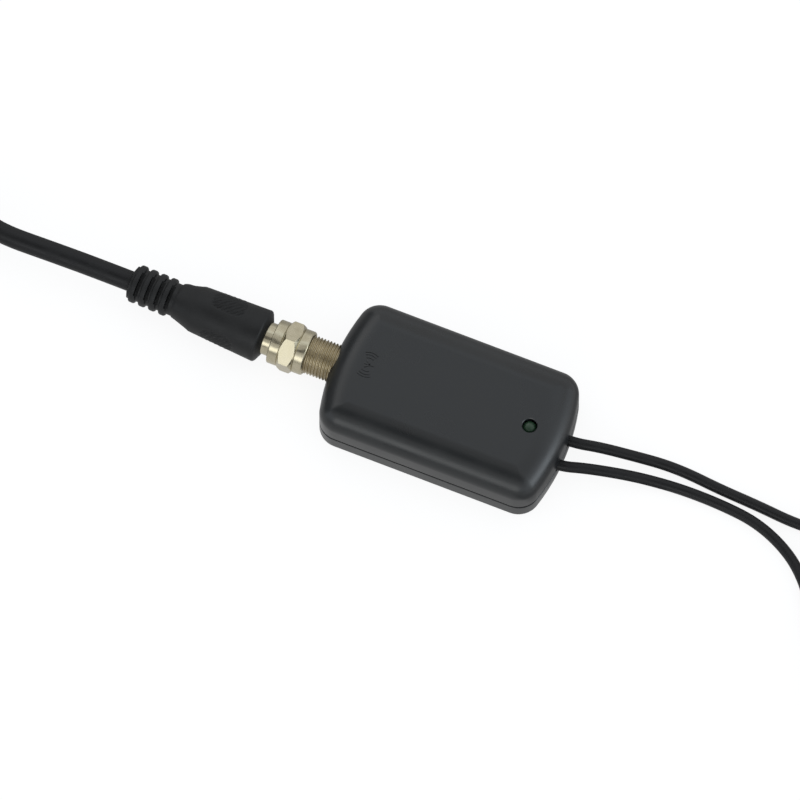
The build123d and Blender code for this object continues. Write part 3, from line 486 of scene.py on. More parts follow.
# Housing: two shells on one plan of straight sides, bulged ends and round corners
case = {
    "length": 59.0, "width": 34.6, "height": 14.8, "bulge": 2.8, "corner": 5.5, "cornerLeast": 0.1,
    "topRound": 5.4, "topRoundIn": 6.9, "bottomRound": 1.1, "wall": 1.8,
    "seam": 5.0, "seamEdge": 0.12, "seamGap": 0.66,
    "endSteps": 11, "cornerSteps": 12, "sideSteps": 9, "roundSteps": 12, "bottomSteps": 6,
    "jackZ": 7.3, "jackHole": 9.82, "notch": 2.75, "notchY": 3.4, "notchRoll": 3,
    "ledX": 20.6, "ledHole": 3.5, "ledLip": 0.18,
    "screwPlaces": [(-14.0, 9.0), (14.0, -9.0)], "screwHole": 2.4, "headHole": 4.4, "headHoleDepth": 1.6,
    "headEdge": 0.15, "boss": 5.6, "bossTop": 5.7,
}


def planPoints(inset):
    # Half of the plan, and then the same half turned round
    halfWidth = case["width"] / 2
    endRadius = halfWidth**2 / (2 * case["bulge"]) + case["bulge"] / 2
    endCentre = case["length"] / 2 - endRadius
    endRadius -= inset
    cornerRadius = max(case["corner"] - inset, case["cornerLeast"])
    cornerY = halfWidth - inset - cornerRadius
    cornerX = endCentre + sqrt((endRadius - cornerRadius) ** 2 - cornerY**2)
    meet = atan2(cornerY, cornerX - endCentre)
    half = []
    for step in range(case["endSteps"] + 1):
        turn = meet * (2 * step / case["endSteps"] - 1)
        half.append((endCentre + endRadius * cos(turn), endRadius * sin(turn)))
    corner = []
    for step in range(1, case["cornerSteps"] + 1):
        turn = meet + (pi / 2 - meet) * step / case["cornerSteps"]
        corner.append((cornerX + cornerRadius * cos(turn), cornerY + cornerRadius * sin(turn)))
    steps = case["sideSteps"]
    side = [(cornerX * (1 - 2 * step / steps), halfWidth - inset) for step in range(1, steps + 1)]
    half += corner + side + [(-x, y) for x, y in corner[-2::-1]]
    return half + [(-x, -y) for x, y in half]


def layRing(face, inset, height):
    byAngle = sorted(planPoints(inset), key=lambda point: atan2(point[1], point[0]))
    corners = sorted((loop.vert for loop in face.loops), key=lambda vertex: atan2(vertex.co.y, vertex.co.x))
    for corner, (x, y) in zip(corners, byAngle):
        corner.co = (x * mm, y * mm, height * mm)


def makeShell(name, rings):
    startFresh()
    bpy.ops.mesh.primitive_circle_add(vertices=len(planPoints(0)), radius=20 * mm, fill_type="NGON")
    shell = namePiece(name)
    mesh = openPiece(shell)
    mesh.faces.ensure_lookup_table()
    mesh.faces[0].select = True
    layRing(mesh.faces[0], *rings[0])
    for inset, height in rings[1:]:
        bpy.ops.mesh.extrude_region_move()
        mesh = bmesh.from_edit_mesh(shell.data)
        layRing([face for face in mesh.faces if face.select][0], inset, height)
        bmesh.update_edit_mesh(shell.data)
    bpy.ops.mesh.select_all(action="SELECT")
    bpy.ops.mesh.normals_make_consistent(inside=False)
    bpy.ops.mesh.select_all(action="DESELECT")
    mesh = bmesh.from_edit_mesh(shell.data)
    for face in mesh.faces:  # the face on the seam goes, and the shell is open there
        face.select = len(face.verts) > 4 and abs(face.calc_center_median().z - rings[0][1] * mm) < 1e-6
    bpy.ops.mesh.delete(type="ONLY_FACE")
    closePiece()
    finishWith(shell, "SOLIDIFY", thickness=case["wall"] * mm, offset=-1, use_even_offset=True)
    return shell


def makeHousingTop():
    top, rounding, roundIn = case["height"], case["topRound"], case["topRoundIn"]
    seam = case["seam"] + case["seamGap"] / 2
    rings = [(case["seamEdge"], seam), (0, seam + case["seamEdge"]), (0, case["jackZ"])]
    for step in range(case["roundSteps"] + 1):
        turn = pi / 2 * step / case["roundSteps"]
        rings.append((roundIn * (1 - cos(turn)), top - rounding * (1 - sin(turn))))
    shell = makeShell("housingTopShell", rings)
    lip, hole, low = case["ledLip"], case["ledHole"] / 2, top - 2 * case["wall"]
    outline = [(low, 0), (low, hole), (top - lip, hole), (top + 0.02, hole + lip + 0.02),
               (top + 1, hole + lip), (top + 1, 0)]
    cutWith(shell, placePiece(turnPiece("ledCut", outline, 48), case["ledX"], 0, 0, standing=True))
    return shell


def makeHousingBottom():
    edge, rounding = case["seamEdge"], case["bottomRound"]
    seam = case["seam"] - case["seamGap"] / 2
    rings = [(edge, seam), (0, seam - edge)]
    for step in range(case["bottomSteps"] + 1):
        turn = pi / 2 * step / case["bottomSteps"]
        rings.append((rounding * (1 - cos(turn)), rounding * (1 - sin(turn))))
    shell = makeShell("housingBottomShell", rings)
    for x, y in case["screwPlaces"]:
        boss = rodPiece("screwBoss", case["wall"] / 2, case["bossTop"], case["boss"], 40)
        cutWith(shell, placePiece(boss, x, y, 0, standing=True), "UNION")
    head, hole, deep = case["headHole"] / 2, case["screwHole"] / 2, case["headHoleDepth"]
    edge, past = case["headEdge"], case["bossTop"] + 2
    outline = [(-1, 0), (-1, head + edge), (0, head + edge), (edge, head), (deep, head), (deep, hole),
               (past, hole), (past, 0)]
    for x, y in case["screwPlaces"]:
        cutWith(shell, placePiece(turnPiece("screwCut", outline, 40), x, y, 0, standing=True))
    return shell


def cutEndHoles(shell):
    # The jack's hole at one end and the two cord notches at the other cross the seam
    jackCut = rodPiece("jackCut", -40, -20, case["jackHole"], 64)
    cutWith(shell, placePiece(jackCut, 0, 0, case["jackZ"]))
    for side in (1, -1):
        notchCut = rodPiece("notchCut", 24, 33, case["notch"], 44)
        cutWith(shell, placePiece(notchCut, 0, side * case["notchY"], case["seam"], roll=case["notchRoll"]))


housing = {"housing_top": makeHousingTop(), "housing_bottom": makeHousingBottom()}
for node, shell in housing.items():
    cutEndHoles(shell)
    smoothPiece(shell)
    dressPiece(shell, "amplifier", [node], "housingPlastic")
print("housing", *[len(shell.data.polygons) for shell in housing.values()])


# Moulded aerial sign by the jack: a mast with two arms, and waves on both sides
sign = {"x": -20.5, "foot": 1.25, "arm": 1.5, "armFoot": 0.2, "armLean": 38.0, "stroke": 0.42, "rise": 0.12,
        "sunk": 0.2, "waves": [1.75, 2.55, 3.2], "waveSpan": 62.0, "waveCentre": 0.35}


def makeSign():
    # Drawn round the middle with its top towards -X, then moved to its place by the jack
    low, high = case["height"] - sign["sunk"], case["height"] + sign["rise"]
    half = sign["stroke"] / 2
    strokes = [boxPiece("signMast", (-sign["foot"], -half, low), (sign["foot"], half, high))]
    for side in (1, -1):
        arm = boxPiece("signArm", (-sign["arm"], -half, low), (0, half, high))
        strokes.append(placePiece(arm, sign["armFoot"], 0, 0, heading=side * sign["armLean"]))
        for radius in sign["waves"]:
            startFresh()
            bpy.ops.mesh.primitive_plane_add(size=1, rotation=(0, pi / 2, 0))
            wave = bpy.context.object
            wave.scale = ((high - low) * mm, sign["stroke"] * mm, 1)
            wave.location = (0, side * radius * mm, (low + high) / 2 * mm)
            bpy.ops.object.transform_apply()
            placePiece(wave, 0, 0, 0, heading=sign["waveSpan"] / 2)
            openPiece(wave, "FACE", "SELECT")
            bpy.ops.mesh.spin(steps=10, angle=radians(sign["waveSpan"]), center=(0, 0, 0), axis=(0, 0, 1))
            closePiece()
            strokes.append(placePiece(wave, -sign["waveCentre"], 0, 0))
    whole = joinPieces(strokes)
    whole.name = whole.data.name = "aerialSign"
    weldPiece(whole)
    placePiece(whole, sign["x"], 0, 0)
    finishWith(whole, "BEVEL", width=0.06 * mm, segments=2, limit_method="ANGLE", angle_limit=radians(40))
    smoothPiece(whole)
    return whole


aerialSign = makeSign()
dressPiece(aerialSign, "amplifier", [], "housingPlastic")
print("sign", len(aerialSign.data.polygons))


# Jack: a barrel with a true helical thread, a flange and board legs
jack = {"front": -42.45, "flangeX": -25.2, "threadEnd": -28.4, "crest": 9.50, "root": 8.62, "pitch": 0.79375,
        "bore": 6.6, "flange": (1.6, 10.6, 9.9), "legY": 4.3, "leg": 1.0, "legLength": 4.1,
        "legBases": (6.9, 4.7)}


def threadPiece(name, length, root, crest, pitch):
    # One pitch of the profile, screwed along X and cut square at both ends
    profile = [(0, root), (0.05, root), (0.42, crest), (0.53, crest), (0.9, root), (1, root)]
    rod = drawOutline(name, [((share - 2) * pitch, radius) for share, radius in profile])
    finishWith(rod, "SCREW", axis="X", angle=2 * pi, screw_offset=pitch * mm, steps=48, render_steps=48,
               iterations=int(length / pitch) + 5, use_merge_vertices=True, merge_threshold=0.001 * mm)
    for at, away in ((0, -1), (length, 1)):
        openPiece(rod, "FACE", "SELECT")
        if away == -1:
            bpy.ops.mesh.remove_doubles(threshold=0.002 * mm)
        bpy.ops.mesh.bisect(plane_co=(at * mm, 0, 0), plane_no=(away, 0, 0), use_fill=True, clear_outer=True)
        closePiece()
    weldPiece(rod)
    return rod


def makeJack():
    front, crest, root, z = jack["front"], jack["crest"] / 2, jack["root"] / 2, case["jackZ"]
    length = jack["threadEnd"] - front + 0.2
    shell = threadPiece("jackShell", length, root, crest, jack["pitch"])
    past = crest + 0.1
    leadIn = [(-1, 0), (0, root - 0.1), (crest - root, past), (length + 1, past), (length + 1, 0)]
    cutWith(shell, turnPiece("jackLeadIn", leadIn, 72), "INTERSECT")
    placePiece(shell, front, 0, z)
    plain = rodPiece("jackPlain", jack["threadEnd"], jack["flangeX"] + 0.5, 2 * crest + 0.02)
    cutWith(shell, placePiece(plain, 0, 0, z), "UNION")
    deep, wide, tall = jack["flange"]
    back = jack["flangeX"] + deep
    low, high = (jack["flangeX"], -wide / 2, z - tall / 2), (back, wide / 2, z + tall / 2)
    cutWith(shell, boxPiece("jackFlange", low, high, 0.25), "UNION")
    for side in (1, -1):
        for base in jack["legBases"]:
            y = side * jack["legY"]
            legLow = (back - 0.2, y - jack["leg"] / 2, base)
            legHigh = (back + jack["legLength"], y + jack["leg"] / 2, base + jack["leg"])
            cutWith(shell, boxPiece("jackLeg", legLow, legHigh, 0.12), "UNION")
    bore = rodPiece("jackBore", front - 1, back + 1, jack["bore"])
    cutWith(shell, placePiece(bore, 0, 0, z))
    smoothPiece(shell, 28)
    return shell


jackShell = makeJack()
dressPiece(jackShell, "amplifier", ["jack_shell"], "dullNickel")
print("jack", len(jackShell.data.polygons))


# Coupling nut: a hexagon between two collars, modelled once and copied to the other plugs
nut = {"length": 9.0, "collar": 5.45, "hexStart": 2.7, "hexLength": 3.6, "flats": 11.11, "hexChamfer": 0.75,
       "edge": 0.55, "rearEdge": 0.3, "groove": 0.16, "bore": 4.81, "mouth": 0.35, "lip": 1.5,
       "lipBore": 4.05, "thread": 0.26, "pitch": 0.79375, "smoothBelow": 15.6}


def makeNut(name):
    flat = nut["flats"] / 2
    corner = flat / cos(pi / 6)
    start, chamfer, spare = nut["hexStart"], nut["hexChamfer"], 0.01
    middle, end = start + nut["hexLength"] / 2, start + nut["hexLength"]
    startFresh()
    bpy.ops.mesh.primitive_cylinder_add(vertices=6, radius=corner * mm, depth=nut["hexLength"] * mm,
                                        location=(middle * mm, 0, 0), rotation=(0, pi / 2, 0))
    body = namePiece(name)
    bpy.ops.object.transform_apply()
    placePiece(body, 0, 0, 0, roll=90)  # one corner up
    cone = [(start - spare, 0), (start - spare, flat), (start + chamfer, corner + 2 * spare),
            (end - chamfer, corner + 2 * spare), (end + spare, flat), (end + spare, 0)]
    cutWith(body, turnPiece("hexCone", cone, 96), "INTERSECT")
    length, collar, edge, rearEdge = nut["length"], nut["collar"], nut["edge"], nut["rearEdge"]
    outline = [(0, 0), (0, collar - rearEdge),
               *arcPoints((rearEdge, collar - rearEdge), rearEdge, 180, 90, 6)[1:]]
    for at in (start, end):  # a fine groove where each collar meets the hexagon
        outline += [(at + away, collar - deep * nut["groove"])
                    for away, deep in ((-0.35, 0), (-0.12, 1), (0.12, 1), (0.35, 0))]
    outline += [(length - edge, collar), *arcPoints((length - edge, collar - edge), edge, 90, 0, 6)[1:],
                (length, 0)]
    cutWith(body, turnPiece("collars", outline, 96), "UNION")
    lip, bore, pitch, past = nut["lip"], nut["bore"], nut["pitch"], 0.05
    crest = bore + nut["thread"]
    rings = [(lip, 0), (lip, bore)]
    for ring in range(int((length - lip - 1.2) / pitch)):
        at = lip + 0.6 + ring * pitch
        rings += [(at, bore), (at + 0.4 * pitch, crest), (at + 0.55 * pitch, crest)]
    rings += [(length - nut["mouth"], bore), (length + past, bore + nut["mouth"] + past), (length + past, 0)]
    cutWith(body, turnPiece("nutBore", rings, 72))
    cutWith(body, rodPiece("lipBore", -1, lip + 0.5, 2 * nut["lipBore"]))
    finishWith(body, "BEVEL", width=0.07 * mm, segments=2, limit_method="ANGLE", angle_limit=radians(24),
               use_clamp_overlap=True)
    smoothPiece(body, nut["smoothBelow"])
    return body


# Each plug's nut: its rear end, heading, lean, body and node
plugs = {
    "antennaNut": ((-44.9, 0.0, 7.3), 0.0, 8.0, "coupling_nut", "coupling_nut"),
    "farNut": ((-192.860, 10.202, 5.56), 188.0, 30.0, "far_nut", "far_plug_nut"),
    "tvNut": ((126.412, -36.332, 5.56), -35.0, 30.0, "tv_nut", "tv_plug_nut"),
}
nutModel = makeNut("nutModel")
for name, (rear, heading, lean, nutBody, nutNode) in plugs.items():
    copied = placePiece(copyPiece(nutModel, name), *rear, heading=heading, roll=lean)
    dressPiece(copied, nutBody, [nutNode], "nickel")
bpy.data.objects.remove(nutModel)
print("nuts", len(plugs))


# Moulded boot: a tapered body with grip patches, and a ribbed, slotted strain relief
boot = {
    "x": -46.8, "z": 7.3, "heading": 177.9,
    "front": 4.4, "rim": 1.2, "rimRadius": 6.5, "shoulder": 18.2, "shoulderRadius": 5.74,
    "taper": [(19.0, 5.42), (20.2, 5.07), (20.8, 4.9), (21.4, 4.73), (22.0, 4.56), (22.6, 4.4)],
    "neck": 23.5, "neckRadius": 4.2, "relief": 4.0, "length": 35.4, "tailRadius": 3.0, "tailSlope": 0.4,
    "ribRadius": 4.68, "ribFirst": 25.7, "ribPitch": 2.63, "ribCount": 4, "ribCrest": 1.3, "ribBase": 1.9,
    "slotWidth": 0.9, "slotSpan": 3.0, "slotFloor": 2.8, "slotShift": 0.45, "slotLean": 21.0,
    "neckFill": 0.24, "neckFillAngle": 69.0, "neckFillTurn": 42.0, "neckFillSpan": (21.2, 23.45),
    "gripStart": 6.0, "gripEnd": 15.4, "gripHalfTurn": 27.0, "gripAngles": (24.0, 96.0, 204.0, 276.0),
    "gripDepth": 0.22, "gripRise": 0.30, "gripPitch": 1.25, "gripSlant": 0.9, "gripSoft": 0.22,
    "gripRadius": 6.1, "gripRow": 0.22, "gripShort": 0.3,
    "sleeve": 8.04, "sleeveDepth": 5.22, "root": 5.04,
}


def bootOutline():
    rim, rimRadius = boot["rim"], boot["rimRadius"]
    points = [(0, 0), (0, 3.6), (0, boot["front"] - 0.15), (0.1, boot["front"] + 0.05)]
    points += [(rim - 0.35, rimRadius - 0.45), (rim - 0.1, rimRadius - 0.12), (rim + 0.2, rimRadius)]
    slope = (boot["shoulderRadius"] - rimRadius) / (boot["shoulder"] - rim)
    start, end = boot["gripStart"], boot["gripEnd"]
    count = round((end - start) / boot["gripRow"])
    rows = [start + (end - start) * row / count for row in range(count + 1)]
    rows = [2.5, 4.0, start - 0.4, *rows, end + 0.5, 17.2]
    points += [(row, rimRadius + slope * (row - rim)) for row in rows]
    neck, relief, length = boot["neck"], boot["relief"], boot["length"]
    points += [(boot["shoulder"], boot["shoulderRadius"] - 0.03), *boot["taper"]]
    points += [(neck - 0.35, boot["neckRadius"] + 0.08), (neck - 0.05, 4.05), (neck + 0.1, relief)]
    crest, base, ribRadius, ease = boot["ribCrest"] / 2, boot["ribBase"] / 2, boot["ribRadius"], 0.18
    for rib in range(boot["ribCount"]):
        middle = boot["ribFirst"] + rib * boot["ribPitch"]
        points += [(middle - base, relief), (middle - crest - 0.1, ribRadius - ease),
                   (middle - crest + ease, ribRadius), (middle + crest - ease, ribRadius),
                   (middle + crest + 0.1, ribRadius - ease), (middle + base, relief)]
    points += [(length - boot["tailSlope"], relief), (length, boot["tailRadius"]), (length, 0)]
    return points


def gripHeight(along, angle):
    # Oval patches, each sunk a little and crossed by slanting ribs, and a fuller side at the neck
    height = 0.0
    start, end = boot["neckFillSpan"]
    if start < along < end:
        away = (angle - boot["neckFillAngle"] + 180) % 360 - 180
        fullness = sin(pi * (along - start) / (end - start)) ** 0.7
        height += boot["neckFill"] * exp(-(away / boot["neckFillTurn"]) ** 2) * fullness
    start, end = boot["gripStart"], boot["gripEnd"]
    middle, reach = (start + end) / 2, (end - start) / 2 - boot["gripShort"]
    for centre in boot["gripAngles"]:
        away = (angle - centre + 180) % 360 - 180
        oval = sqrt((away / boot["gripHalfTurn"]) ** 4 + ((along - middle) / reach) ** 4)
        share = min(max((1.0 - oval) / boot["gripSoft"], 0), 1)
        if share > 0:
            share = share * share * (3 - 2 * share)
            across = radians(away) * boot["gripRadius"]
            wave = 0.5 + 0.5 * cos(2 * pi * (along + boot["gripSlant"] * across) / boot["gripPitch"])
            height += share * (boot["gripRise"] * wave**1.5 - boot["gripDepth"])
    return height


def makeBoot():
    body = turnPiece("antennaBoot", bootOutline(), 144)
    for vertex in body.data.vertices:
        radius = sqrt(vertex.co.y**2 + vertex.co.z**2)
        if radius > 3.9 * mm:
            angle = -atan2(vertex.co.y, vertex.co.z) * 180 / pi  # seen from the plug, +Y lies on the left
            scaled = 1 + gripHeight(vertex.co.x / mm, angle) * mm / radius
            vertex.co.y *= scaled
            vertex.co.z *= scaled
    body.data.update()
    for slot in range(boot["ribCount"]):
        at = boot["ribFirst"] + (slot - 0.5) * boot["ribPitch"] + boot["slotShift"]
        half, span = boot["slotWidth"] / 2, boot["slotSpan"]
        for side in (0, 180):
            cut = boxPiece("bootSlot", (at - half, -span, boot["slotFloor"]), (at + half, span, 6.0), 0.12)
            cutWith(body, placePiece(cut, 0, 0, 0, roll=side - boot["slotLean"]))
    cutWith(body, rodPiece("rootCut", boot["sleeveDepth"] - 1, boot["length"] + 1, boot["root"], 56))
    placePiece(body, boot["x"], 0, boot["z"], heading=boot["heading"])
    sleeve = rodPiece("sleeveCut", boot["x"] - boot["sleeveDepth"], boot["x"] + 1, boot["sleeve"], 56)
    cutWith(body, placePiece(sleeve, 0, 0, boot["z"]))
    smoothPiece(body, 35)
    return body


antennaBoot = makeBoot()
dressPiece(antennaBoot, "antenna_plug", ["antenna_plug_boot"], "bootVinyl")
bootWay = Vector((cos(radians(boot["heading"])), sin(radians(boot["heading"])), 0))
rootLine = [Vector((boot["x"], 0, boot["z"])) + bootWay * run for run in (5.4, 20.0, boot["length"])]
cableRoot = makeCord("antennaCableRoot", rootLine, cable["diameter"])
dressPiece(cableRoot, "antenna_plug", ["antenna_cable_root"], "cordVinyl")
print("boot", len(antennaBoot.data.polygons))


# Indicator: a round-topped lens standing in its hole
led = {"top": 14.5, "radius": 1.70, "flange": 1.9, "flangeHeight": 1.0, "flangeEdge": 0.1, "height": 4.8,
       "dome": 1.3}


def makeLens():
    base, centre = led["top"] - led["height"], led["top"] - led["dome"]
    rim, flange, edge = base + led["flangeHeight"], led["flange"], led["flangeEdge"]
    outline = [(base, 0), (base, flange - edge), (base + edge, flange), (rim - edge, flange),
               (rim, flange - edge), (rim + edge / 2, led["radius"])]
    for step in range(0, 91, 9):
        turn = radians(step)
        outline.append((centre + led["dome"] * sin(turn), led["radius"] * cos(turn)))
    lens = placePiece(turnPiece("ledLens", outline, 48), case["ledX"], 0, 0, standing=True)
    smoothPiece(lens)
    return lens


ledLens = makeLens()
dressPiece(ledLens, "amplifier", ["led_lens"], "ledGreen")
print("lens", len(ledLens.data.polygons))


# Case screws: pan heads with a cross recess, in the holes underneath
screw = {"head": 4.0, "headHeight": 1.3, "shank": 2.2, "thread": 0.22, "length": 9.3, "pitch": 0.9,
         "recess": (2.5, 0.62, 0.7)}


def makeScrews():
    top, shank = case["headHoleDepth"], screw["shank"] / 2
    low = top - screw["headHeight"]
    thread = threadPiece("screwThread", screw["length"], shank - screw["thread"], shank, screw["pitch"])
    placePiece(thread, 0, 0, top - 0.1, standing=True)
    radius = screw["head"] / 2
    outline = [(low, 0), (low, radius - 0.5), (low + 0.12, radius - 0.2), (low + 0.4, radius),
               (top - 0.1, radius), (top, radius - 0.1), (top, 0)]
    head = placePiece(turnPiece("screwHead", outline, 48), 0, 0, 0, standing=True)
    cutWith(head, thread, "UNION")
    long, wide, deep = screw["recess"]
    for reach in ((long / 2, wide / 2), (wide / 2, long / 2)):
        slot = boxPiece("screwSlot", (-reach[0], -reach[1], low - 1), (reach[0], reach[1], low + deep), 0.08)
        cutWith(head, slot)
    both = joinPieces([placePiece(copyPiece(head, "caseScrew"), x, y, 0) for x, y in case["screwPlaces"]])
    bpy.data.objects.remove(head)
    both.name = both.data.name = "caseScrews"
    smoothPiece(both)
    return both


caseScrews = makeScrews()
dressPiece(caseScrews, "amplifier", ["case_screws"], "screwSteel")
print("screws", len(caseScrews.data.polygons))


# TV plug's boot: a stepped sleeve with finger grooves, thinner where the lead comes in
tvBoot = {"heading": -35.0, "length": 20.0, "radius": 5.0, "sleeve": 8.04, "sleeveStart": 14.38, "lead": 2.69,
          "profile": [(0, 2.3), (0.25, 2.6), (8.0, 3.0), (9.2, 3.5), (10.8, 4.5), (11.6, 4.88), (12.2, 5.0)],
          "grooves": (13.2, 14.6, 16.0, 17.4), "grooveDepth": 0.3}


def makeTvBoot():
    radius, length = tvBoot["radius"], tvBoot["length"]
    outline = [(0, 0), *tvBoot["profile"]]
    for at in tvBoot["grooves"]:
        floor = radius - tvBoot["grooveDepth"]
        outline += [(at - 0.3, radius), (at - 0.12, floor), (at + 0.12, floor), (at + 0.3, radius)]
    outline += [(length - 0.8, radius), (length - 0.3, radius - 0.22), (length, radius - 0.7), (length, 0)]
    body = turnPiece("tvBoot", outline, 72)
    cutWith(body, rodPiece("leadCut", -1, tvBoot["sleeveStart"] + 0.5, tvBoot["lead"], 40))
    cutWith(body, rodPiece("sleeveCut", tvBoot["sleeveStart"], length + 1, tvBoot["sleeve"], 56))
    placePiece(body, *tvPlugStart, heading=tvBoot["heading"])
    smoothPiece(body, 35)
    return body


tvPlugBoot = makeTvBoot()
dressPiece(tvPlugBoot, "amplifier", ["tv_plug_boot"], "bootVinyl")
tvWay = Vector((cos(radians(tvBoot["heading"])), sin(radians(tvBoot["heading"])), 0))
tvRootLine = [Vector(tvPlugStart) + tvWay * run for run in (0.0, 7.0, 14.4)]
tvRoot = makeCord("tvLeadRoot", tvRootLine, lead["diameter"])
dressPiece(tvRoot, "amplifier", ["tv_lead_root"], "cordVinyl")
print("tv boot", len(tvPlugBoot.data.polygons))


# USB plug body: a rounded block with finger ridges on both faces
usb = {"x": 109.9, "y": 8.95, "z": 9.815, "length": 18.0, "width": 16.0, "height": 7.5, "round": 1.7,
       "rearInset": 0.9, "rearDraw": 0.8, "frontInset": 0.6, "shell": (12.0, 4.5), "root": 4.0,
       "ridges": (5.5, 7.5, 9.5, 11.5), "ridge": (0.5, 9.0, 0.3)}


def usbBlock(name, along, wide, heights, edge=0.0):
    # A block on the plug's middle line, from its rear end and its middle height
    low = (usb["x"] + along[0], usb["y"] - wide / 2, usb["z"] + heights[0])
    high = (usb["x"] + along[1], usb["y"] + wide / 2, usb["z"] + heights[1])
    return boxPiece(name, low, high, edge)


def makeUsbBody():
    body = usbBlock("usbPlugBody", (0, usb["length"]), usb["width"], (-usb["height"] / 2, usb["height"] / 2))
    mesh = openPiece(body, "EDGE")
    for edge in mesh.edges:
        way = (edge.verts[1].co - edge.verts[0].co).normalized()
        edge.select = abs(way.x) > 0.9
    bpy.ops.mesh.bevel(offset=usb["round"] * mm, segments=6, affect="EDGES")
    closePiece()
    for side, inset in ((-1, usb["rearInset"]), (1, usb["frontInset"])):
        mesh = openPiece(body)
        for face in mesh.faces:
            face.select = face.normal.x * side > 0.9
        bpy.ops.mesh.inset(thickness=inset * mm, depth=0.0)
        closePiece()
    # The rear edge is drawn in, as a mould's parting edge is
    for vertex in body.data.vertices:
        if vertex.co.x < (usb["x"] + 0.01) * mm:
            aside = abs(vertex.co.y / mm - usb["y"]) / (usb["width"] / 2)
            aloft = abs(vertex.co.z / mm - usb["z"]) / (usb["height"] / 2)
            if max(aside, aloft) > 0.93:
                vertex.co.x += usb["rearDraw"] * mm
    shellWide, shellTall = usb["shell"]
    reach = shellTall / 2 + 0.01
    span = (usb["length"] - usb["root"], usb["length"] + 1)
    cutWith(body, usbBlock("usbRootCut", span, shellWide + 0.02, (-reach, reach)))
    thick, wide, rise = usb["ridge"]
    for at in usb["ridges"]:
        for side in (1, -1):
            surface = side * usb["height"] / 2
            heights = (surface - rise, surface + rise)
            cutWith(body, usbBlock("usbRidge", (at, at + thick), wide, heights, 0.15))
    finishWith(body, "BEVEL", width=0.15 * mm, segments=2, limit_method="ANGLE", angle_limit=radians(35))
    smoothPiece(body, 35)
    return body


usbPlugBody = makeUsbBody()
dressPiece(usbPlugBody, "amplifier", ["usb_plug_body"], "bootVinyl")
print("usb body", len(usbPlugBody.data.polygons))


# Solids that keep their shape take a finish of their own
keptNodes = {
    "boardLaminate": ["circuit_board"],
    "chipEpoxy": ["amplifier_chip", "voltage_regulator", "chip_resistors"],
    "ceramic": ["chip_capacitors"],
    "ferrite": ["bias_inductor"],
    "tinnedSteel": ["rf_shield"],
    "canAluminium": ["electrolytic_capacitor"],
    "tinnedWire": ["led_leads", "solder_joints"],
    "whiteInsulator": ["jack_insulator", "usb_tongue",
        "antenna_plug_dielectric", "far_plug_dielectric", "tv_plug_dielectric"],
    "contactBrass": ["jack_contact", "usb_contacts"],
    "blackNylon": ["strain_tie"],
    "coreCopper": ["lead_cores", "antenna_plug_pin", "far_plug_pin", "tv_plug_pin"],
    "nickel": ["antenna_plug_ferrule", "far_plug_ferrule", "tv_plug_ferrule"],
    "usbSteel": ["usb_shell"],
}
for finish, nodes in keptNodes.items():
    for node in nodes:
        coverPiece(cadNodes[node], finish)
print("kept solids", sum(len(nodes) for nodes in keptNodes.values()))


# Studio, in metres: white paper floor, two soft lamps, and cards that only reflections see
studio = {
    "floorSize": 14, "floorHeight": -0.00003, "paperTone": 0.8, "paperSeen": 0.17, "paperLift": 0.875,
    "skyTint": (0.95, 1.0, 1.05), "worldLevel": 0.80,
}
# Each lamp: its place, size, level and colour. It faces the middle
lamps = {
    "frontSoftbox": ((0.02, -0.862, 0.418), (0.70, 0.34), 1.2, (1.0, 0.98, 0.93)),
    "rightSoftbox": ((0.925, 0.105, 0.235), (0.42, 0.46), 2.4, (0.84, 0.93, 1.0)),
}
# Each card: its middle, size, the way it faces, and its level
cards = {
    "ceilingCard": ((-0.225, -0.3145, 0.85), (1.95, 0.391), (0, 0, -1), 0.15),
    "ceilingEdge": ((-0.225, 0.0785, 0.85), (1.95, 0.395), (0, 0, -1), 0.58),
    "frontCard": ((0.0, -0.579, 0.690), (1.9, 0.32), (0, 0.643, -0.766), 0.66),
    "backCard": ((0.0, 0.95, 0.125), (2.4, 0.25), (0, -1, 0), 0.62),
    "frontSkirt": ((0.0, -0.97, 0.12), (2.6, 0.24), (0, 1, 0), 0.42),
    "backUpper": ((0.0, 0.90, 0.66), (2.2, 0.74), (0, -0.806, -0.591), 0.74),
    "frontTable": ((-0.5352, -0.55, 0.0002), (1.13, 1.1), (0, 0, 1), 0.66),
    "backTable": ((-0.5352, 0.55, 0.0002), (1.13, 1.1), (0, 0, 1), 0.42),
    "rightNear": ((0.0424, 0.0, 0.0002), (0.0252, 2.2), (0, 0, 1), 0.32),
    "rightFar": ((0.5924, 0.0, 0.0002), (1.0748, 2.2), (0, 0, 1), 0.74),
    "leftCard": ((-0.95, 0.25, 0.28), (1.3, 0.56), (1, 0, 0), 0.2),
    "leftGlow": ((-0.66, 0.34, 0.66), (1.1, 0.30), (0.66, -0.34, -0.66), 1.3),
}


def seenRays(tree):
    # 1 for what the camera, a reflection or clear plastic sees
    rays = addNode(tree, "LightPath").outputs
    both = addMath(tree, "MAXIMUM", rays["Is Camera Ray"], rays["Is Glossy Ray"])
    return addMath(tree, "MAXIMUM", both, rays["Is Transmission Ray"])


def makePlane(name, size, location):
    # A stage plane with a material of its own, still without nodes
    startFresh()
    bpy.ops.mesh.primitive_plane_add(size=size, location=location)
    plane = namePiece(name)
    material = bpy.data.materials.new(name)
    material.use_nodes = True
    material.node_tree.nodes.clear()
    plane.data.materials.append(material)
    return plane, material.node_tree


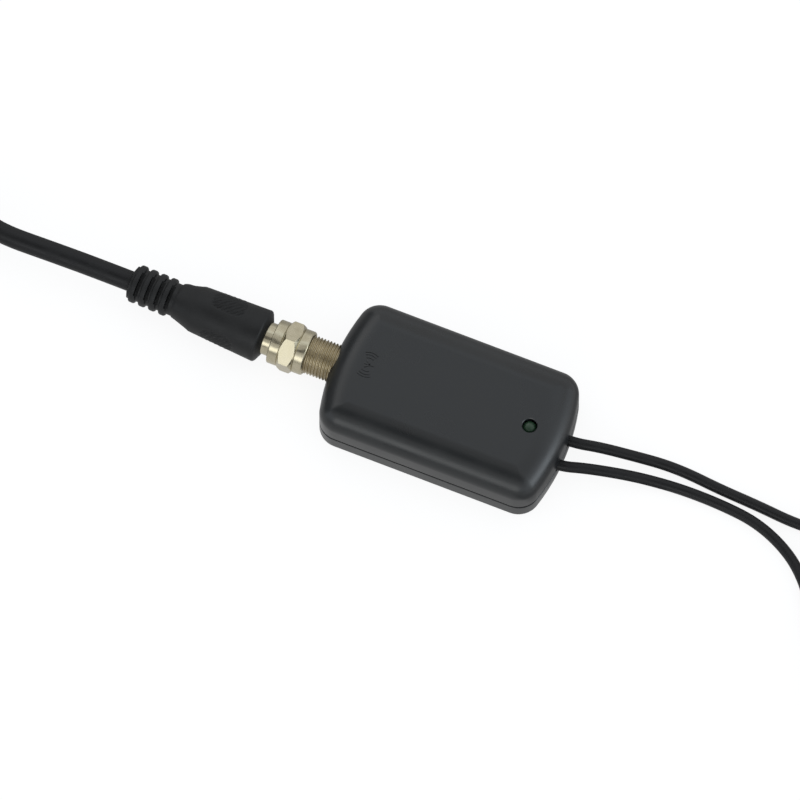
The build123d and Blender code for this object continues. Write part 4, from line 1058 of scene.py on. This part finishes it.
def makeFloor():
    floor, tree = makePlane("paperFloor", studio["floorSize"], (0, 0, studio["floorHeight"]))
    plain = addNode(tree, "BsdfDiffuse", Color=(studio["paperTone"],) * 3 + (1,)).outputs[0]
    tint = addNode(tree, "BsdfDiffuse", Color=(studio["paperSeen"],) * 3 + (1,)).outputs[0]
    lift = addNode(tree, "Emission", Strength=studio["paperLift"]).outputs[0]
    shown = addNode(tree, "AddShader", [(0, tint), (1, lift)]).outputs[0]
    mixed = addNode(tree, "MixShader", [(0, seenRays(tree)), (1, plain), (2, shown)]).outputs[0]
    addNode(tree, "OutputMaterial", [("Surface", mixed)])


def makeWorld():
    world = bpy.data.worlds.new("studioWorld")
    scene.world = world
    world.use_nodes = True
    tree = world.node_tree
    sky = tree.nodes["Background"]
    camera = addNode(tree, "LightPath").outputs["Is Camera Ray"]
    tree.links.new(mixColour(world, camera, studio["skyTint"], (1.0, 1.0, 1.0)), sky.inputs["Color"])
    level = addMath(tree, "MULTIPLY", seenRays(tree), 1 - studio["worldLevel"])
    tree.links.new(addMath(tree, "ADD", level, studio["worldLevel"]), sky.inputs["Strength"])


def makeLamp(name, location, size, level, colour):
    light = bpy.data.lights.new(name, "AREA")
    light.shape = "RECTANGLE"
    light.size, light.size_y = size
    light.energy = level * pi * light.size * light.size_y
    light.color = colour
    lamp = bpy.data.objects.new(name, light)
    lamp.location = location
    lamp.rotation_euler = (-lamp.location).to_track_quat("-Z", "Y").to_euler()
    lamp.visible_camera = False
    scene.collection.objects.link(lamp)


def makeCard(name, location, size, facing, level):
    card, tree = makePlane(name, 1, location)
    card.scale = (*size, 1)
    card.rotation_euler = Vector(facing).to_track_quat("Z", "Y").to_euler()
    glow = addNode(tree, "Emission", Strength=level).outputs[0]
    addNode(tree, "OutputMaterial", [("Surface", glow)])
    card.visible_camera = card.visible_diffuse = card.visible_shadow = False


makeFloor()
makeWorld()
for name, looks in lamps.items():
    makeLamp(name, *looks)
for name, looks in cards.items():
    makeCard(name, *looks)
print("studio ready")
